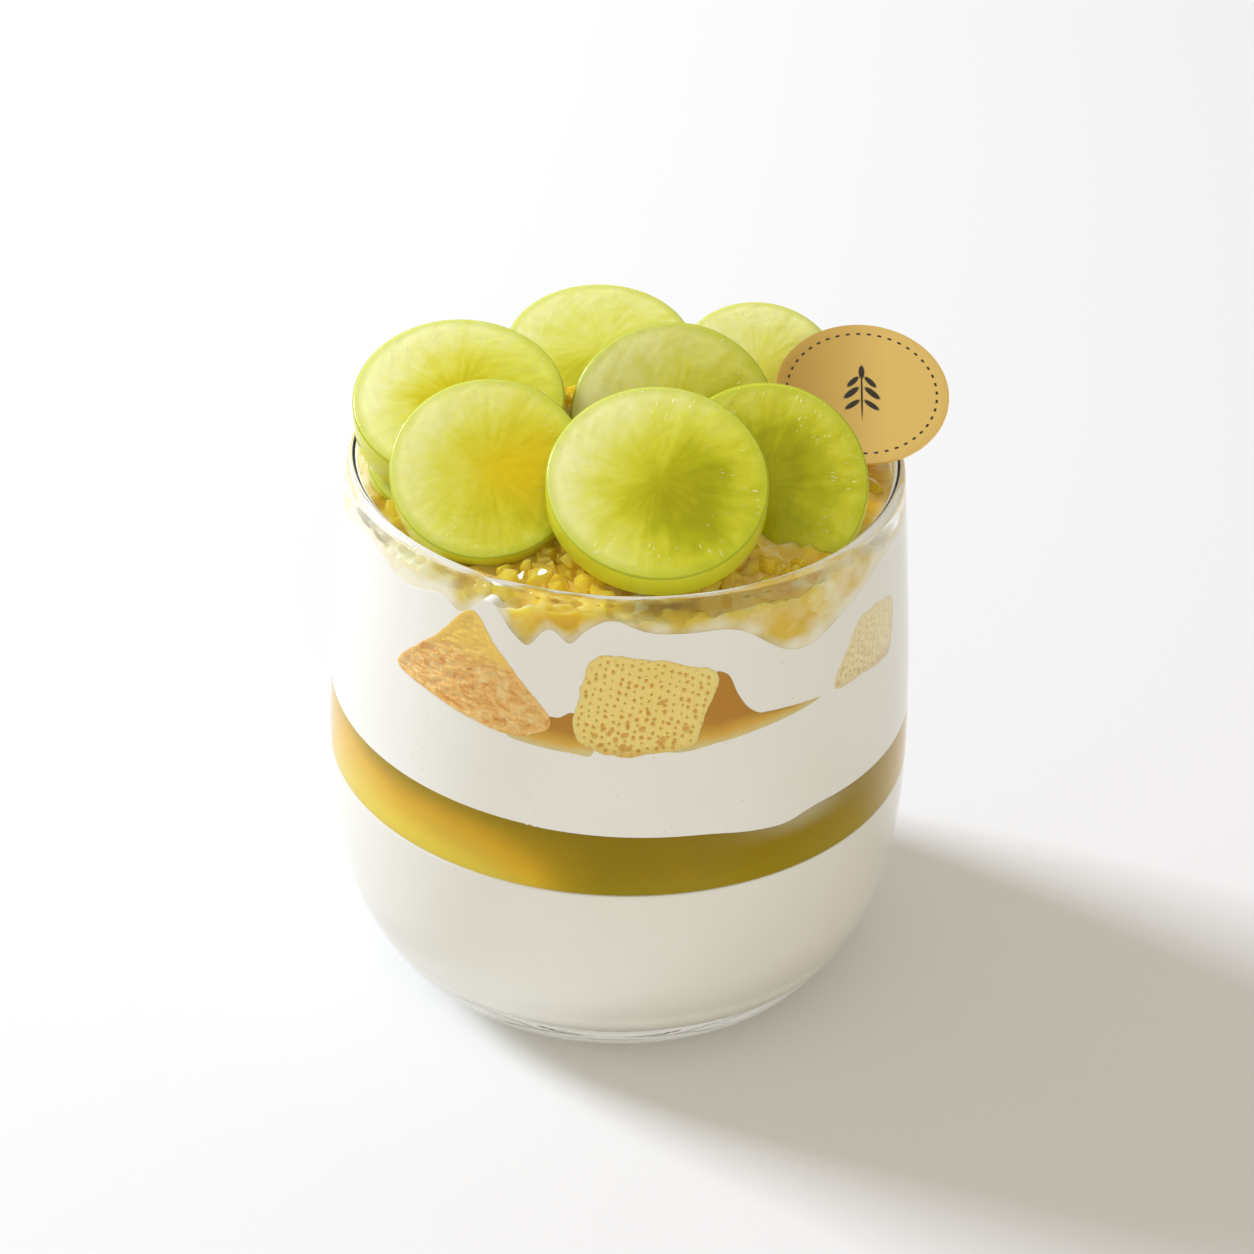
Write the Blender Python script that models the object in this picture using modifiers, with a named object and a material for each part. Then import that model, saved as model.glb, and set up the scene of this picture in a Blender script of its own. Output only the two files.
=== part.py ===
"""Muscat grape verrine: a bulged glass cup layered with pudding, wine jelly, whipped cream and cut
sponge, topped with crushed jelly, slices of green grape and a round gilt card lying on the rim."""

import math
import random

import bmesh
import bpy
from mathutils import Euler, Matrix, Vector

MM = 0.001

# The glass cup, in millimetres. Each wall knot is a height and the outer radius there.
CUP_HEIGHT = 69.2
WALL = 1.6
BASE = 5.0
FOOT_RADIUS = 27.4
FOOT_ROUNDING = 1.4
HEEL = 2.6
HEEL_HEIGHT = 10.0
FLOOR_CORNER = 2.6
WALL_KNOTS = (
    (1.2, 29.5),
    (6.2, 32.9),
    (13.8, 35.6),
    (24.9, 36.7),
    (40.0, 36.4),
    (55.0, 35.3),
    (69.2, 34.0),
)
INSIDE_LEVELS = (9.2, 11.0, 13.4, 17.0, 22.5, 30.0, 40.0, 50.0, 60.0)
OUTSIDE_LEVELS = (1.2, 2.6, 4.4, 6.6, 9.4, 13.0, 18.0, 25.0, 34.0, 44.0, 54.0, 62.0)
CUP_STEPS = 52
FOOD_STEPS = 48
TOPPING_RINGS = 4

# Every filling keeps this far from the glass and from its neighbours, and the cream a little farther
# from the curved pieces that it is cut round.
GAP = 0.3
ROOM = 0.42

# Heights of the fillings where they meet the wall at the front.
PUDDING_TOP = 28.7
JELLY_TOP = 37.1
CREAM_TOP = 48.2
SWELL_LEFT = (-146.0, 9.0, 4.9)
SWELL_RIGHT = (-50.0, 12.0, 1.9)
JELLY_TILT = 1.0

# The upper cream: the height of its top edge round the wall, its sunk middle, and the swells of the
# edge. A swell is an azimuth in degrees, its spread in degrees and its height.
UPPER_CREAM_EDGE = 62.0
UPPER_CREAM_MIDDLE = 60.2
UPPER_CREAM_SWELLS = (
    (-125.0, 8.0, 2.9),
    (-113.0, 3.0, -1.6),
    (-84.0, 13.0, 2.2),
    (-55.0, 6.0, -2.6),
    (-20.0, 14.0, 2.4),
    (38.0, 12.0, 1.6),
    (84.0, 10.0, -1.2),
    (128.0, 12.0, 1.8),
    (172.0, 10.0, -1.4),
)

# Each sponge piece pressed on the glass: four corners of its outer face as (azimuth in degrees, height
# in mm) anticlockwise from the lower left, then how far it runs in.
SPONGE_PIECES = {
    "sponge_crust_left": (((-138.5, 52.4), (-111.0, 49.7), (-104.4, 52.9), (-121.2, 63.2)), 13.0),
    "sponge_crumb_front": (((-98.7, 49.2), (-75.0, 49.5), (-70.2, 58.5), (-95.9, 61.2)), 15.0),
    "sponge_crumb_right": (((-43.0, 51.5), (-23.0, 50.2), (-20.0, 57.6), (-33.0, 58.6)), 13.0),
    "sponge_crumb_back_right": (((16.0, 49.9), (44.0, 49.9), (50.0, 57.6), (22.0, 58.8)), 14.0),
    "sponge_crust_back": (((74.0, 49.9), (103.0, 50.4), (98.0, 58.8), (80.0, 58.0)), 13.0),
    "sponge_crumb_back_left": (((138.0, 50.0), (166.0, 50.2), (163.0, 58.4), (141.0, 57.6)), 14.0),
}

# Syrupy jelly caught beside the sponge: corners as above, depth, and how sharply its top falls away.
SYRUP_POCKETS = {
    "syrup_left": (((-111.0, 48.9), (-99.4, 48.6), (-99.4, 52.6), (-103.9, 52.2)), 10.0, 0.0),
    "syrup_front": (((-74.2, 49.4), (-49.0, 50.7), (-48.0, 51.5), (-69.5, 57.2)), 9.0, 3.2),
    "syrup_back": (((106.0, 49.6), (127.0, 49.2), (127.0, 51.6), (103.0, 56.4)), 6.0, 2.6),
}
CHUNK_CUTS = 2

# The crushed jelly: the height of its surface at the wall and in the middle, and its loose bits.
CRUSH_EDGE = 66.5
CRUSH_MIDDLE = 74.6
CRUSH_BITS = 28
BIT_SIDES = (2.0, 3.2)

# Each slice of grape: centre of its upper face, radius, thickness, the azimuth and elevation that the
# face looks to in degrees, and how far its outline is from a circle.
GRAPE_SLICES = {
    "grape_slice_front": ((3.7, -20.9, 77.5), 13.1, 4.2, -90.0, 60.0, 0.02),
    "grape_slice_front_left": ((-16.3, -14.6, 75.1), 11.8, 3.8, -93.0, 55.0, 0.015),
    "grape_slice_front_right": ((16.2, -11.3, 72.0), 12.7, 4.0, -97.0, 44.0, 0.015),
    "grape_slice_middle": ((5.6, 1.4, 73.5), 12.6, 4.0, -88.0, 46.0, 0.01),
    "grape_slice_left": ((-20.6, 0.7, 76.0), 13.1, 4.6, -95.0, 70.0, 0.02),
    "grape_slice_left_under": ((-20.5, -0.6, 69.4), 11.2, 3.8, -95.0, 70.0, 0.01),
    "grape_slice_back": ((-3.8, 21.2, 72.5), 12.0, 3.6, -90.0, 73.0, 0.015),
    "grape_slice_back_right": ((16.0, 13.6, 74.5), 10.1, 3.6, -90.0, 62.0, 0.015),
}
SLICE_STEPS = 32
SKIN_ROUNDING = 0.7

# The round gilt card, lying on the rim and the fruit: as a slice, but flat and truly round.
CARD_CENTRE = (28.7, 7.8, 74.4)
CARD_RADIUS = 10.75
CARD_THICKNESS = 0.7
CARD_AZIMUTH = -90.0
CARD_ELEVATION = 66.0
CARD_STEPS = 40

# Colour, roughness, metallic value and transmission of each material.
LOOKS = {
    "clear_glass": ((0.95, 0.97, 0.97, 1), 0.03, 0.0, 1.0),
    "milk_pudding": ((0.80, 0.74, 0.66, 1), 0.35, 0.0, 0.0),
    "wine_jelly": ((0.42, 0.29, 0.02, 1), 0.08, 0.0, 0.3),
    "whipped_cream": ((0.86, 0.82, 0.76, 1), 0.5, 0.0, 0.0),
    "browned_sponge": ((0.62, 0.32, 0.09, 1), 0.8, 0.0, 0.0),
    "sponge_crumb": ((0.74, 0.57, 0.22, 1), 0.85, 0.0, 0.0),
    "amber_syrup": ((0.36, 0.13, 0.01, 1), 0.1, 0.0, 0.2),
    "crushed_jelly": ((0.72, 0.48, 0.10, 1), 0.08, 0.0, 0.4),
    "grape_flesh": ((0.62, 0.62, 0.12, 1), 0.2, 0.0, 0.2),
    "gilt_card": ((0.60, 0.40, 0.12, 1), 0.35, 0.8, 0.0),
}


def clear_scene():
    for obj in list(bpy.data.objects):
        bpy.data.objects.remove(obj)


def new_collection(name, helper=False):
    collection = bpy.data.collections.new(name)
    collection.hide_render = helper
    bpy.context.scene.collection.children.link(collection)
    return collection


def new_material(name):
    colour, roughness, metallic, transmission = LOOKS[name]
    material = bpy.data.materials.new(name)
    material.use_nodes = True
    surface = material.node_tree.nodes["Principled BSDF"]
    surface.inputs["Base Color"].default_value = colour
    surface.inputs["Roughness"].default_value = roughness
    surface.inputs["Metallic"].default_value = metallic
    surface.inputs["Transmission Weight"].default_value = transmission
    return material


def new_object(name, mesh, collection, material=None):
    obj = bpy.data.objects.new(name, mesh)
    collection.objects.link(obj)
    if material:
        mesh.materials.append(material)
    return obj


def as_cutter(obj):
    obj.hide_render = True
    obj.display_type = "WIRE"
    return obj


def apply_modifiers(obj):
    """Gives the object the mesh that its modifiers make, and takes them off."""
    graph = bpy.context.evaluated_depsgraph_get()
    mesh = bpy.data.meshes.new_from_object(obj.evaluated_get(graph))
    obj.modifiers.clear()
    obj.data = mesh


def reshape(obj, moved):
    """Moves every vertex to moved(x, y, z), in millimetres."""
    for vertex in obj.data.vertices:
        x, y, z = vertex.co / MM
        vertex.co = Vector(moved(x, y, z)) * MM


def outer_radius(z):
    """The cup's outer radius at a height, on a smooth curve through the wall knots."""
    z = min(max(z, WALL_KNOTS[0][0]), WALL_KNOTS[-1][0])
    span = next(i for i in range(1, len(WALL_KNOTS)) if z <= WALL_KNOTS[i][0])

    def slope(i):
        low = max(i - 1, 0)
        high = min(i + 1, len(WALL_KNOTS) - 1)
        return (WALL_KNOTS[high][1] - WALL_KNOTS[low][1]) / (WALL_KNOTS[high][0] - WALL_KNOTS[low][0])

    (z0, r0), (z1, r1) = WALL_KNOTS[span - 1], WALL_KNOTS[span]
    width = z1 - z0
    t = (z - z0) / width
    return (
        r0 * (1 + 2 * t) * (1 - t) ** 2
        + slope(span - 1) * width * t * (1 - t) ** 2
        + r1 * t * t * (3 - 2 * t)
        + slope(span) * width * t * t * (t - 1)
    )


def inner_radius(z):
    """The wall's inner face: the outer face less the wall, which thickens down to the heel."""
    heel = HEEL * max(0.0, 1 - (z - BASE) / HEEL_HEIGHT) ** 2
    return outer_radius(z) - WALL - heel


def arc(centre, radius, start, end, steps):
    """Points on an arc in the profile's plane, from one angle to another, in degrees."""
    angles = [math.radians(start + (end - start) * i / steps) for i in range(steps + 1)]
    return [(centre[0] + radius * math.cos(a), centre[1] + radius * math.sin(a)) for a in angles]


def heights(low, high, steps):
    return [low + (high - low) * i / steps for i in range(steps + 1)]


def inside_heights(low, high):
    """The two ends, and the levels between them at which the cup's inner face has a ring of points."""
    return [low] + [z for z in INSIDE_LEVELS if low < z < high] + [high]


def floor_corner(inset):
    """The rounded corner between the cup's floor and wall, moved inwards by inset, from the floor up."""
    wall_z = BASE + FLOOR_CORNER
    centre = (inner_radius(wall_z) - FLOOR_CORNER, wall_z)
    return arc(centre, FLOOR_CORNER - inset, -90, 0, 3)


def turned(name, profile, steps, collection, material):
    """A solid of revolution: the profile is (radius, height) pairs in mm, its outer side top to bottom."""
    mesh = bpy.data.meshes.new(name)
    points = [(r * MM, 0, z * MM) for r, z in profile]
    mesh.from_pydata(points, [(i, i + 1) for i in range(len(points) - 1)], [])
    obj = new_object(name, mesh, collection, material)
    screw = obj.modifiers.new("turn", "SCREW")
    screw.steps = steps
    screw.render_steps = steps
    screw.use_merge_vertices = True
    screw.merge_threshold = 0.00001
    return obj


def filling_profile(bottom, top, rings=3, steps=4):
    """A flat layer between two heights, with rings across its top and bottom faces."""
    side = [(inner_radius(z) - GAP, z) for z in heights(top, bottom, steps)]
    across_top = [(side[0][0] * i / rings, top) for i in range(rings)]
    across_bottom = [(side[-1][0] * i / rings, bottom) for i in range(rings)]
    return across_top + side + across_bottom[::-1]


def azimuth_of(x, y):
    return math.degrees(math.atan2(y, x))


def bump(azimuth, swell):
    """A rise of the given height round one azimuth, and nothing well away from it."""
    centre, width, height = swell
    away = (azimuth - centre + 180) % 360 - 180
    return height * math.exp(-0.5 * (away / width) ** 2)


def smooth(t):
    t = min(max(t, 0.0), 1.0)
    return t * t * (3 - 2 * t)


def shade(obj):
    obj.data.shade_smooth()
    obj.data.set_sharp_from_angle(angle=math.radians(35))


def build_glass(collection):
    """The cup: thick flat foot, bulged wall, narrower rounded lip."""
    lip = WALL / 2
    lip_z = CUP_HEIGHT - lip
    inside = inside_heights(BASE + FLOOR_CORNER, lip_z)
    foot_centre = (FOOT_RADIUS, FOOT_ROUNDING)
    profile = [(0, BASE)] + floor_corner(0)[:-1]
    profile += [(inner_radius(z), z) for z in inside]
    profile += arc((outer_radius(lip_z) - lip, lip_z), lip, 180, 0, 4)[1:-1]
    profile += [(outer_radius(z), z) for z in (lip_z,) + OUTSIDE_LEVELS[::-1]]
    profile += arc(foot_centre, FOOT_ROUNDING, -35, -90, 2)
    profile += [(0, 0)]
    return turned("glass_cup", profile, CUP_STEPS, collection, new_material("clear_glass"))


def build_pudding(collection):
    """Milk pudding set in the bottom of the cup, under the jelly."""
    rings = 3
    side = [(inner_radius(z) - GAP, z) for z in inside_heights(BASE + FLOOR_CORNER, PUDDING_TOP)[::-1]]
    profile = [(side[0][0] * i / rings, PUDDING_TOP) for i in range(rings)]
    profile += side + floor_corner(GAP)[::-1][1:] + [(0, BASE + GAP)]
    return turned("milk_pudding", profile, FOOD_STEPS, collection, new_material("milk_pudding"))


def jelly_lift(x):
    """The jelly's top is a little higher on the left."""
    return -JELLY_TILT * x / outer_radius(JELLY_TOP)


def build_jelly(collection):
    """The band of wine jelly across the widest part of the cup."""
    bottom = PUDDING_TOP + GAP
    profile = filling_profile(bottom, JELLY_TOP)
    obj = turned("jelly_band", profile, FOOD_STEPS, collection, new_material("wine_jelly"))
    apply_modifiers(obj)
    depth = JELLY_TOP - bottom
    reshape(obj, lambda x, y, z: (x, y, z + jelly_lift(x) * (z - bottom) / depth))
    return obj


def middle_cream_height(x, y):
    """The lower cream's top: level, with a swell at the left and a smaller one at the right."""
    azimuth = azimuth_of(x, y)
    rise = bump(azimuth, SWELL_LEFT) + bump(azimuth, SWELL_RIGHT)
    out = smooth(math.hypot(x, y) / inner_radius(CREAM_TOP))
    return CREAM_TOP + rise * out


def build_lower_cream(collection):
    """The lower band of whipped cream, between the jelly and the sponge."""
    bottom = JELLY_TOP + GAP
    profile = filling_profile(bottom, CREAM_TOP)
    obj = turned("cream_lower", profile, FOOD_STEPS, collection, new_material("whipped_cream"))
    apply_modifiers(obj)

    def moved(x, y, z):
        t = (z - bottom) / (CREAM_TOP - bottom)
        lifted = z + jelly_lift(x) * (1 - t) + (middle_cream_height(x, y) - CREAM_TOP) * t
        r = math.hypot(x, y)
        fit = min(1.0, (inner_radius(lifted) - GAP) / r) if r else 1.0
        return x * fit, y * fit, lifted

    reshape(obj, moved)
    return obj


def upper_cream_edge(x, y):
    """The upper cream's top edge round the wall, which waves as it was spooned in."""
    azimuth = azimuth_of(x, y)
    return UPPER_CREAM_EDGE + sum(bump(azimuth, swell) for swell in UPPER_CREAM_SWELLS)


def upper_cream_height(x, y):
    out = smooth(math.hypot(x, y) / inner_radius(UPPER_CREAM_EDGE) * 1.25 - 0.25)
    return UPPER_CREAM_MIDDLE + (upper_cream_edge(x, y) - UPPER_CREAM_MIDDLE) * out


def build_upper_cream(collection, chunk_rooms, slice_rooms):
    """The upper cream, spooned over the sponge and down between its pieces."""
    bottom = CREAM_TOP + GAP
    top = UPPER_CREAM_EDGE
    profile = filling_profile(bottom, top, TOPPING_RINGS, 5)
    obj = turned("cream_upper", profile, FOOD_STEPS, collection, new_material("whipped_cream"))
    apply_modifiers(obj)

    def moved(x, y, z):
        t = (z - bottom) / (top - bottom)
        low = middle_cream_height(x, y) + GAP
        lifted = low + (upper_cream_height(x, y) - low) * t
        r = math.hypot(x, y)
        wall = inner_radius(z) - GAP
        fit = (inner_radius(lifted) - GAP) / wall if r > wall - 0.01 else 1.0
        return x * fit, y * fit, lifted

    reshape(obj, moved)
    cut(obj, chunk_rooms)
    cut(obj, slice_rooms)
    return obj


def cut(obj, cutters):
    boolean = obj.modifiers.new("cut", "BOOLEAN")
    boolean.operation = "DIFFERENCE"
    boolean.operand_type = "COLLECTION"
    boolean.collection = cutters
    boolean.solver = "MANIFOLD"
    apply_modifiers(obj)
    keep_largest_body(obj)


def keep_largest_body(obj):
    """Drops any crumb that a cut has left loose beside the main body."""
    mesh = bmesh.new()
    mesh.from_mesh(obj.data)
    left = set(mesh.verts)
    bodies = []
    while left:
        body, edge = set(), [left.pop()]
        while edge:
            vertex = edge.pop()
            body.add(vertex)
            for near in (e.other_vert(vertex) for e in vertex.link_edges):
                if near in left:
                    left.remove(near)
                    edge.append(near)
        bodies.append(body)
    bodies.sort(key=len)
    for body in bodies[:-1]:
        bmesh.ops.delete(mesh, geom=list(body), context="VERTS")
    mesh.to_mesh(obj.data)
    mesh.free()


def chunk(name, corners, depth, fall, grow, collection, material):
    """A piece pressed on the glass. A cube's outer face maps to the corners on the wall, its depth runs
    in towards the middle, and grow makes it that much larger all round."""
    mesh = bpy.data.meshes.new(name)
    shape = bmesh.new()
    bmesh.ops.create_cube(shape, size=1)
    bmesh.ops.subdivide_edges(shape, edges=shape.edges[:], cuts=CHUNK_CUTS, use_grid_fill=True)
    shape.to_mesh(mesh)
    shape.free()
    obj = new_object(name, mesh, collection, material)
    low_left, low_right, high_right, high_left = corners
    radius = inner_radius(sum(z for azimuth, z in corners) / 4)
    wide = math.degrees(grow / radius)
    margin = wide / abs(high_right[0] + low_right[0] - high_left[0] - low_left[0]) * 2

    def moved(x, y, z):
        u, v, w = x + 0.5, z + 0.5, y + 0.5
        along = u * (1 + 2 * margin) - margin
        ease = (1 - math.exp(-fall * along)) / (1 - math.exp(-fall)) if fall else along
        low = low_left[1] + (low_right[1] - low_left[1]) * along
        high = high_left[1] + (high_right[1] - high_left[1]) * ease
        height = low - grow + (high - low + 2 * grow) * v
        left = low_left[0] + (high_left[0] - low_left[0]) * v - wide
        right = low_right[0] + (high_right[0] - low_right[0]) * v + wide
        azimuth = math.radians(left + (right - left) * u)
        reach = inner_radius(height) - GAP + grow * 3 - (depth + grow * 4) * (1 - w)
        return reach * math.cos(azimuth), reach * math.sin(azimuth), height

    for vertex in mesh.vertices:
        vertex.co = Vector(moved(*vertex.co)) * MM
    face_outward(mesh)
    return obj


def face_outward(mesh):
    shape = bmesh.new()
    shape.from_mesh(mesh)
    bmesh.ops.recalc_face_normals(shape, faces=shape.faces[:])
    shape.to_mesh(mesh)
    shape.free()


def build_chunks(collection, cutters):
    """The sponge pieces and the syrup beside them, and a larger copy of each to cut the cream with."""
    crumb, crust = new_material("sponge_crumb"), new_material("browned_sponge")
    syrup = new_material("amber_syrup")
    for name, (corners, depth) in SPONGE_PIECES.items():
        chunk(name, corners, depth, 0, 0, collection, crust if "crust" in name else crumb)
        as_cutter(chunk(name + "_room", corners, depth, 0, ROOM, cutters, None))
    for name, (corners, depth, fall) in SYRUP_POCKETS.items():
        chunk(name, corners, depth, fall, 0, collection, syrup)
        as_cutter(chunk(name + "_room", corners, depth, fall, ROOM, cutters, None))


def placed_disc(name, centre, radius, thickness, azimuth, elevation, steps, collection, material=None):
    """A flat cylinder whose upper face is centred on centre and looks to the azimuth and elevation."""
    bpy.ops.mesh.primitive_cylinder_add(vertices=steps, radius=radius * MM, depth=thickness * MM)
    obj = bpy.context.object
    obj.name = name
    obj.data.name = name
    for home in list(obj.users_collection):
        home.objects.unlink(obj)
    collection.objects.link(obj)
    if material:
        obj.data.materials.append(material)
    obj.rotation_euler = Euler((0, math.radians(90 - elevation), math.radians(azimuth)))
    facing = obj.rotation_euler.to_matrix() @ Vector((0, 0, 1))
    obj.location = (Vector(centre) - facing * thickness / 2) * MM
    return obj


def build_slices(collection, cutters):
    """The slices of grape: each a short cylinder, a little off round, with its skin side rounded."""
    flesh = new_material("grape_flesh")
    for place, (name, values) in enumerate(GRAPE_SLICES.items()):
        centre, radius, thickness, azimuth, elevation, uneven = values
        obj = placed_disc(name, centre, radius, thickness, azimuth, elevation, SLICE_STEPS, collection, flesh)

        def moved(x, y, z):
            turn = math.atan2(y, x)
            wave = math.sin(2 * turn + place * 1.7) + 0.6 * math.sin(3 * turn + place * 2.3)
            size = 1 - uneven / 2 + uneven * wave / 3.2
            return x * size, y * size, z

        reshape(obj, moved)
        rounding = obj.modifiers.new("skin", "BEVEL")
        rounding.width = SKIN_ROUNDING * MM
        rounding.segments = 2
        rounding.angle_limit = math.radians(60)
        face = Vector(centre)
        grown = placed_disc(name + "_room", face, radius + GAP, thickness + 2 * GAP, azimuth, elevation,
                            SLICE_STEPS, cutters)
        facing = grown.rotation_euler.to_matrix() @ Vector((0, 0, 1))
        grown.location += facing * GAP * MM
        as_cutter(grown)
        shade(obj)


def crush_height(x, y):
    """The crushed jelly's surface: highest in the middle, with small lumps."""
    r, turn = math.hypot(x, y), math.atan2(y, x)
    fall = smooth(r / inner_radius(CRUSH_EDGE))
    lumps = 0.45 * math.sin(7 * turn + r * 0.4) + 0.35 * math.sin(11 * turn + 2)
    return CRUSH_MIDDLE + (CRUSH_EDGE - CRUSH_MIDDLE) * fall + lumps * fall


def build_crushed_jelly(collection, chunk_rooms, slice_rooms, bits):
    """The heap of crushed jelly: a core that fills the cup's neck, with loose bits fused to its top,
    cut back round every slice that is bedded in it."""
    bottom = UPPER_CREAM_EDGE + GAP
    profile = filling_profile(bottom, CRUSH_EDGE, TOPPING_RINGS, 2)
    obj = turned("crushed_jelly", profile, FOOD_STEPS, collection, new_material("crushed_jelly"))
    apply_modifiers(obj)

    def moved(x, y, z):
        t = (z - bottom) / (CRUSH_EDGE - bottom)
        low = upper_cream_height(x, y) + 2 * GAP
        lifted = low + (crush_height(x, y) - low) * t
        r = math.hypot(x, y)
        wall = inner_radius(z) - GAP
        fit = (inner_radius(lifted) - GAP) / wall if r > wall - 0.01 else 1.0
        return x * fit, y * fit, lifted

    reshape(obj, moved)
    draw = random.Random(3)
    for number in range(CRUSH_BITS):
        side = draw.uniform(*BIT_SIDES)
        turn = math.tau * (number + draw.uniform(-0.4, 0.4)) / CRUSH_BITS
        reach = inner_radius(CRUSH_EDGE) - GAP - side * 0.9 - draw.uniform(0, 2.0)
        x, y = reach * math.cos(turn), reach * math.sin(turn)
        mesh = bpy.data.meshes.new("bit")
        shape = bmesh.new()
        bmesh.ops.create_cube(shape, size=side * MM)
        tumble = Euler([draw.uniform(0, math.tau) for axis in "xyz"]).to_matrix().to_4x4()
        bmesh.ops.transform(shape, matrix=tumble, verts=shape.verts[:])
        spot = Matrix.Translation(Vector((x, y, crush_height(x, y) + side * 0.1)) * MM)
        bmesh.ops.transform(shape, matrix=spot, verts=shape.verts[:])
        shape.to_mesh(mesh)
        shape.free()
        as_cutter(new_object(f"bit_{number}", mesh, bits))
    union = obj.modifiers.new("bits", "BOOLEAN")
    union.operation = "UNION"
    union.operand_type = "COLLECTION"
    union.collection = bits
    union.solver = "MANIFOLD"
    apply_modifiers(obj)
    for bit in list(bits.objects):
        bpy.data.objects.remove(bit)
    cut(obj, chunk_rooms)
    cut(obj, slice_rooms)
    return obj


def build_card(collection):
    """The round gilt card."""
    return placed_disc("gilt_card", CARD_CENTRE, CARD_RADIUS, CARD_THICKNESS, CARD_AZIMUTH, CARD_ELEVATION,
                       CARD_STEPS, collection, new_material("gilt_card"))


def build():
    clear_scene()
    verrine = new_collection("muscat_grape_verrine")
    chunk_rooms = new_collection("sponge_cutters", helper=True)
    slice_rooms = new_collection("slice_cutters", helper=True)
    bits = new_collection("jelly_bits", helper=True)
    shade(build_glass(verrine))
    shade(build_pudding(verrine))
    shade(build_jelly(verrine))
    shade(build_lower_cream(verrine))
    build_chunks(verrine, chunk_rooms)
    build_slices(verrine, slice_rooms)
    shade(build_upper_cream(verrine, chunk_rooms, slice_rooms))
    build_crushed_jelly(verrine, chunk_rooms, slice_rooms, bits)
    build_card(verrine)


build()
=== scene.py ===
"""Muscat grape verrine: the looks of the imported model, piece by piece, from the glass up.
Lengths are millimetres unless a name says metres; angles are degrees, with -90 towards the camera."""

import bpy
import numpy as np
from mathutils import Euler, Matrix, Vector


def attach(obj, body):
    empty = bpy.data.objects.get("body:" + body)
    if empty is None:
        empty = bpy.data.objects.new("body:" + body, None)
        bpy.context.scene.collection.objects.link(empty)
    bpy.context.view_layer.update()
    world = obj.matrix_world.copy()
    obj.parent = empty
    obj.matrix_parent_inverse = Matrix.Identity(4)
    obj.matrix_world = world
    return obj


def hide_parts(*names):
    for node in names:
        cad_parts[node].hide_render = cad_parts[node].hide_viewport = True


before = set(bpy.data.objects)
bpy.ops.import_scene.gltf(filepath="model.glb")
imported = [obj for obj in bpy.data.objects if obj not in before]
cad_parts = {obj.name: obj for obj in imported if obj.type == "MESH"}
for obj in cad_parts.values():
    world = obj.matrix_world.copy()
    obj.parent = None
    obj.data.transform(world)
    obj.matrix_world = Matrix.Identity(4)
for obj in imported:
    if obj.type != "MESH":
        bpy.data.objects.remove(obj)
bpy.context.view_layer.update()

# The glass cup
# A pressed tumbler of clear soda-lime glass with a thick base, a bulged wall and a fire-polished lip.
# It is turned from one profile, with a shallow hollow under the base as a pressed glass has.
MM = 0.001
CUP_HEIGHT = 69.2
WALL = 1.6
BASE = 5.0
FOOT_RADIUS = 27.4
FOOT_ROUNDING = 1.4
HOLLOW_RADIUS = 23.5
HOLLOW_DEPTH = 0.9
HEEL = 2.6
HEEL_HEIGHT = 10.0
FLOOR_CORNER = 2.6
KNOT_HEIGHTS = np.array([1.2, 6.2, 13.8, 24.9, 40.0, 55.0, CUP_HEIGHT])
KNOT_RADII = np.array([29.5, 32.9, 35.6, 36.7, 36.4, 35.3, 34.0])
ROUND_STEPS = 240


def outer_radius(z):
    """A cubic through the wall's knots, whose slope at a knot is that of the line joining its neighbours."""
    z = np.clip(z, KNOT_HEIGHTS[0], KNOT_HEIGHTS[-1])
    low = np.clip(np.searchsorted(KNOT_HEIGHTS, z, side="right") - 1, 0, len(KNOT_HEIGHTS) - 2)
    before = np.maximum(np.arange(len(KNOT_HEIGHTS)) - 1, 0)
    after = np.minimum(np.arange(len(KNOT_HEIGHTS)) + 1, len(KNOT_HEIGHTS) - 1)
    slope = (KNOT_RADII[after] - KNOT_RADII[before]) / (KNOT_HEIGHTS[after] - KNOT_HEIGHTS[before])
    width = KNOT_HEIGHTS[low + 1] - KNOT_HEIGHTS[low]
    t = (z - KNOT_HEIGHTS[low]) / width
    start = KNOT_RADII[low] * (1 + 2 * t) * (1 - t) ** 2 + slope[low] * width * t * (1 - t) ** 2
    end = KNOT_RADII[low + 1] * t * t * (3 - 2 * t) + slope[low + 1] * width * t * t * (t - 1)
    return start + end


def inner_radius(z):
    """The outer face less the wall, which thickens with the square of the depth towards the heel."""
    return outer_radius(z) - WALL - HEEL * np.maximum(0, 1 - (z - BASE) / HEEL_HEIGHT) ** 2


def arc(centre, radius, start, end, steps):
    """Points on a circle in the profile's plane, evenly spaced from one angle to another."""
    turn = np.radians(np.linspace(start, end, steps + 1))
    return np.stack([centre[0] + radius * np.cos(turn), centre[1] + radius * np.sin(turn)], 1)


def along_wall(radius_at, start, end, steps):
    """Points of a wall, as radius and height, at even heights."""
    z = np.linspace(start, end, steps + 1)
    return np.stack([radius_at(z), z], 1)


def turned(profile, steps=ROUND_STEPS):
    """Each point of a profile (radius, height) becomes a ring of points round the glass's axis."""
    turn = np.linspace(0, 2 * np.pi, steps, endpoint=False)
    radius, height = profile[:, :1], profile[:, 1:]
    return np.stack([radius * np.cos(turn), radius * np.sin(turn), height + 0 * turn], 2)


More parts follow.
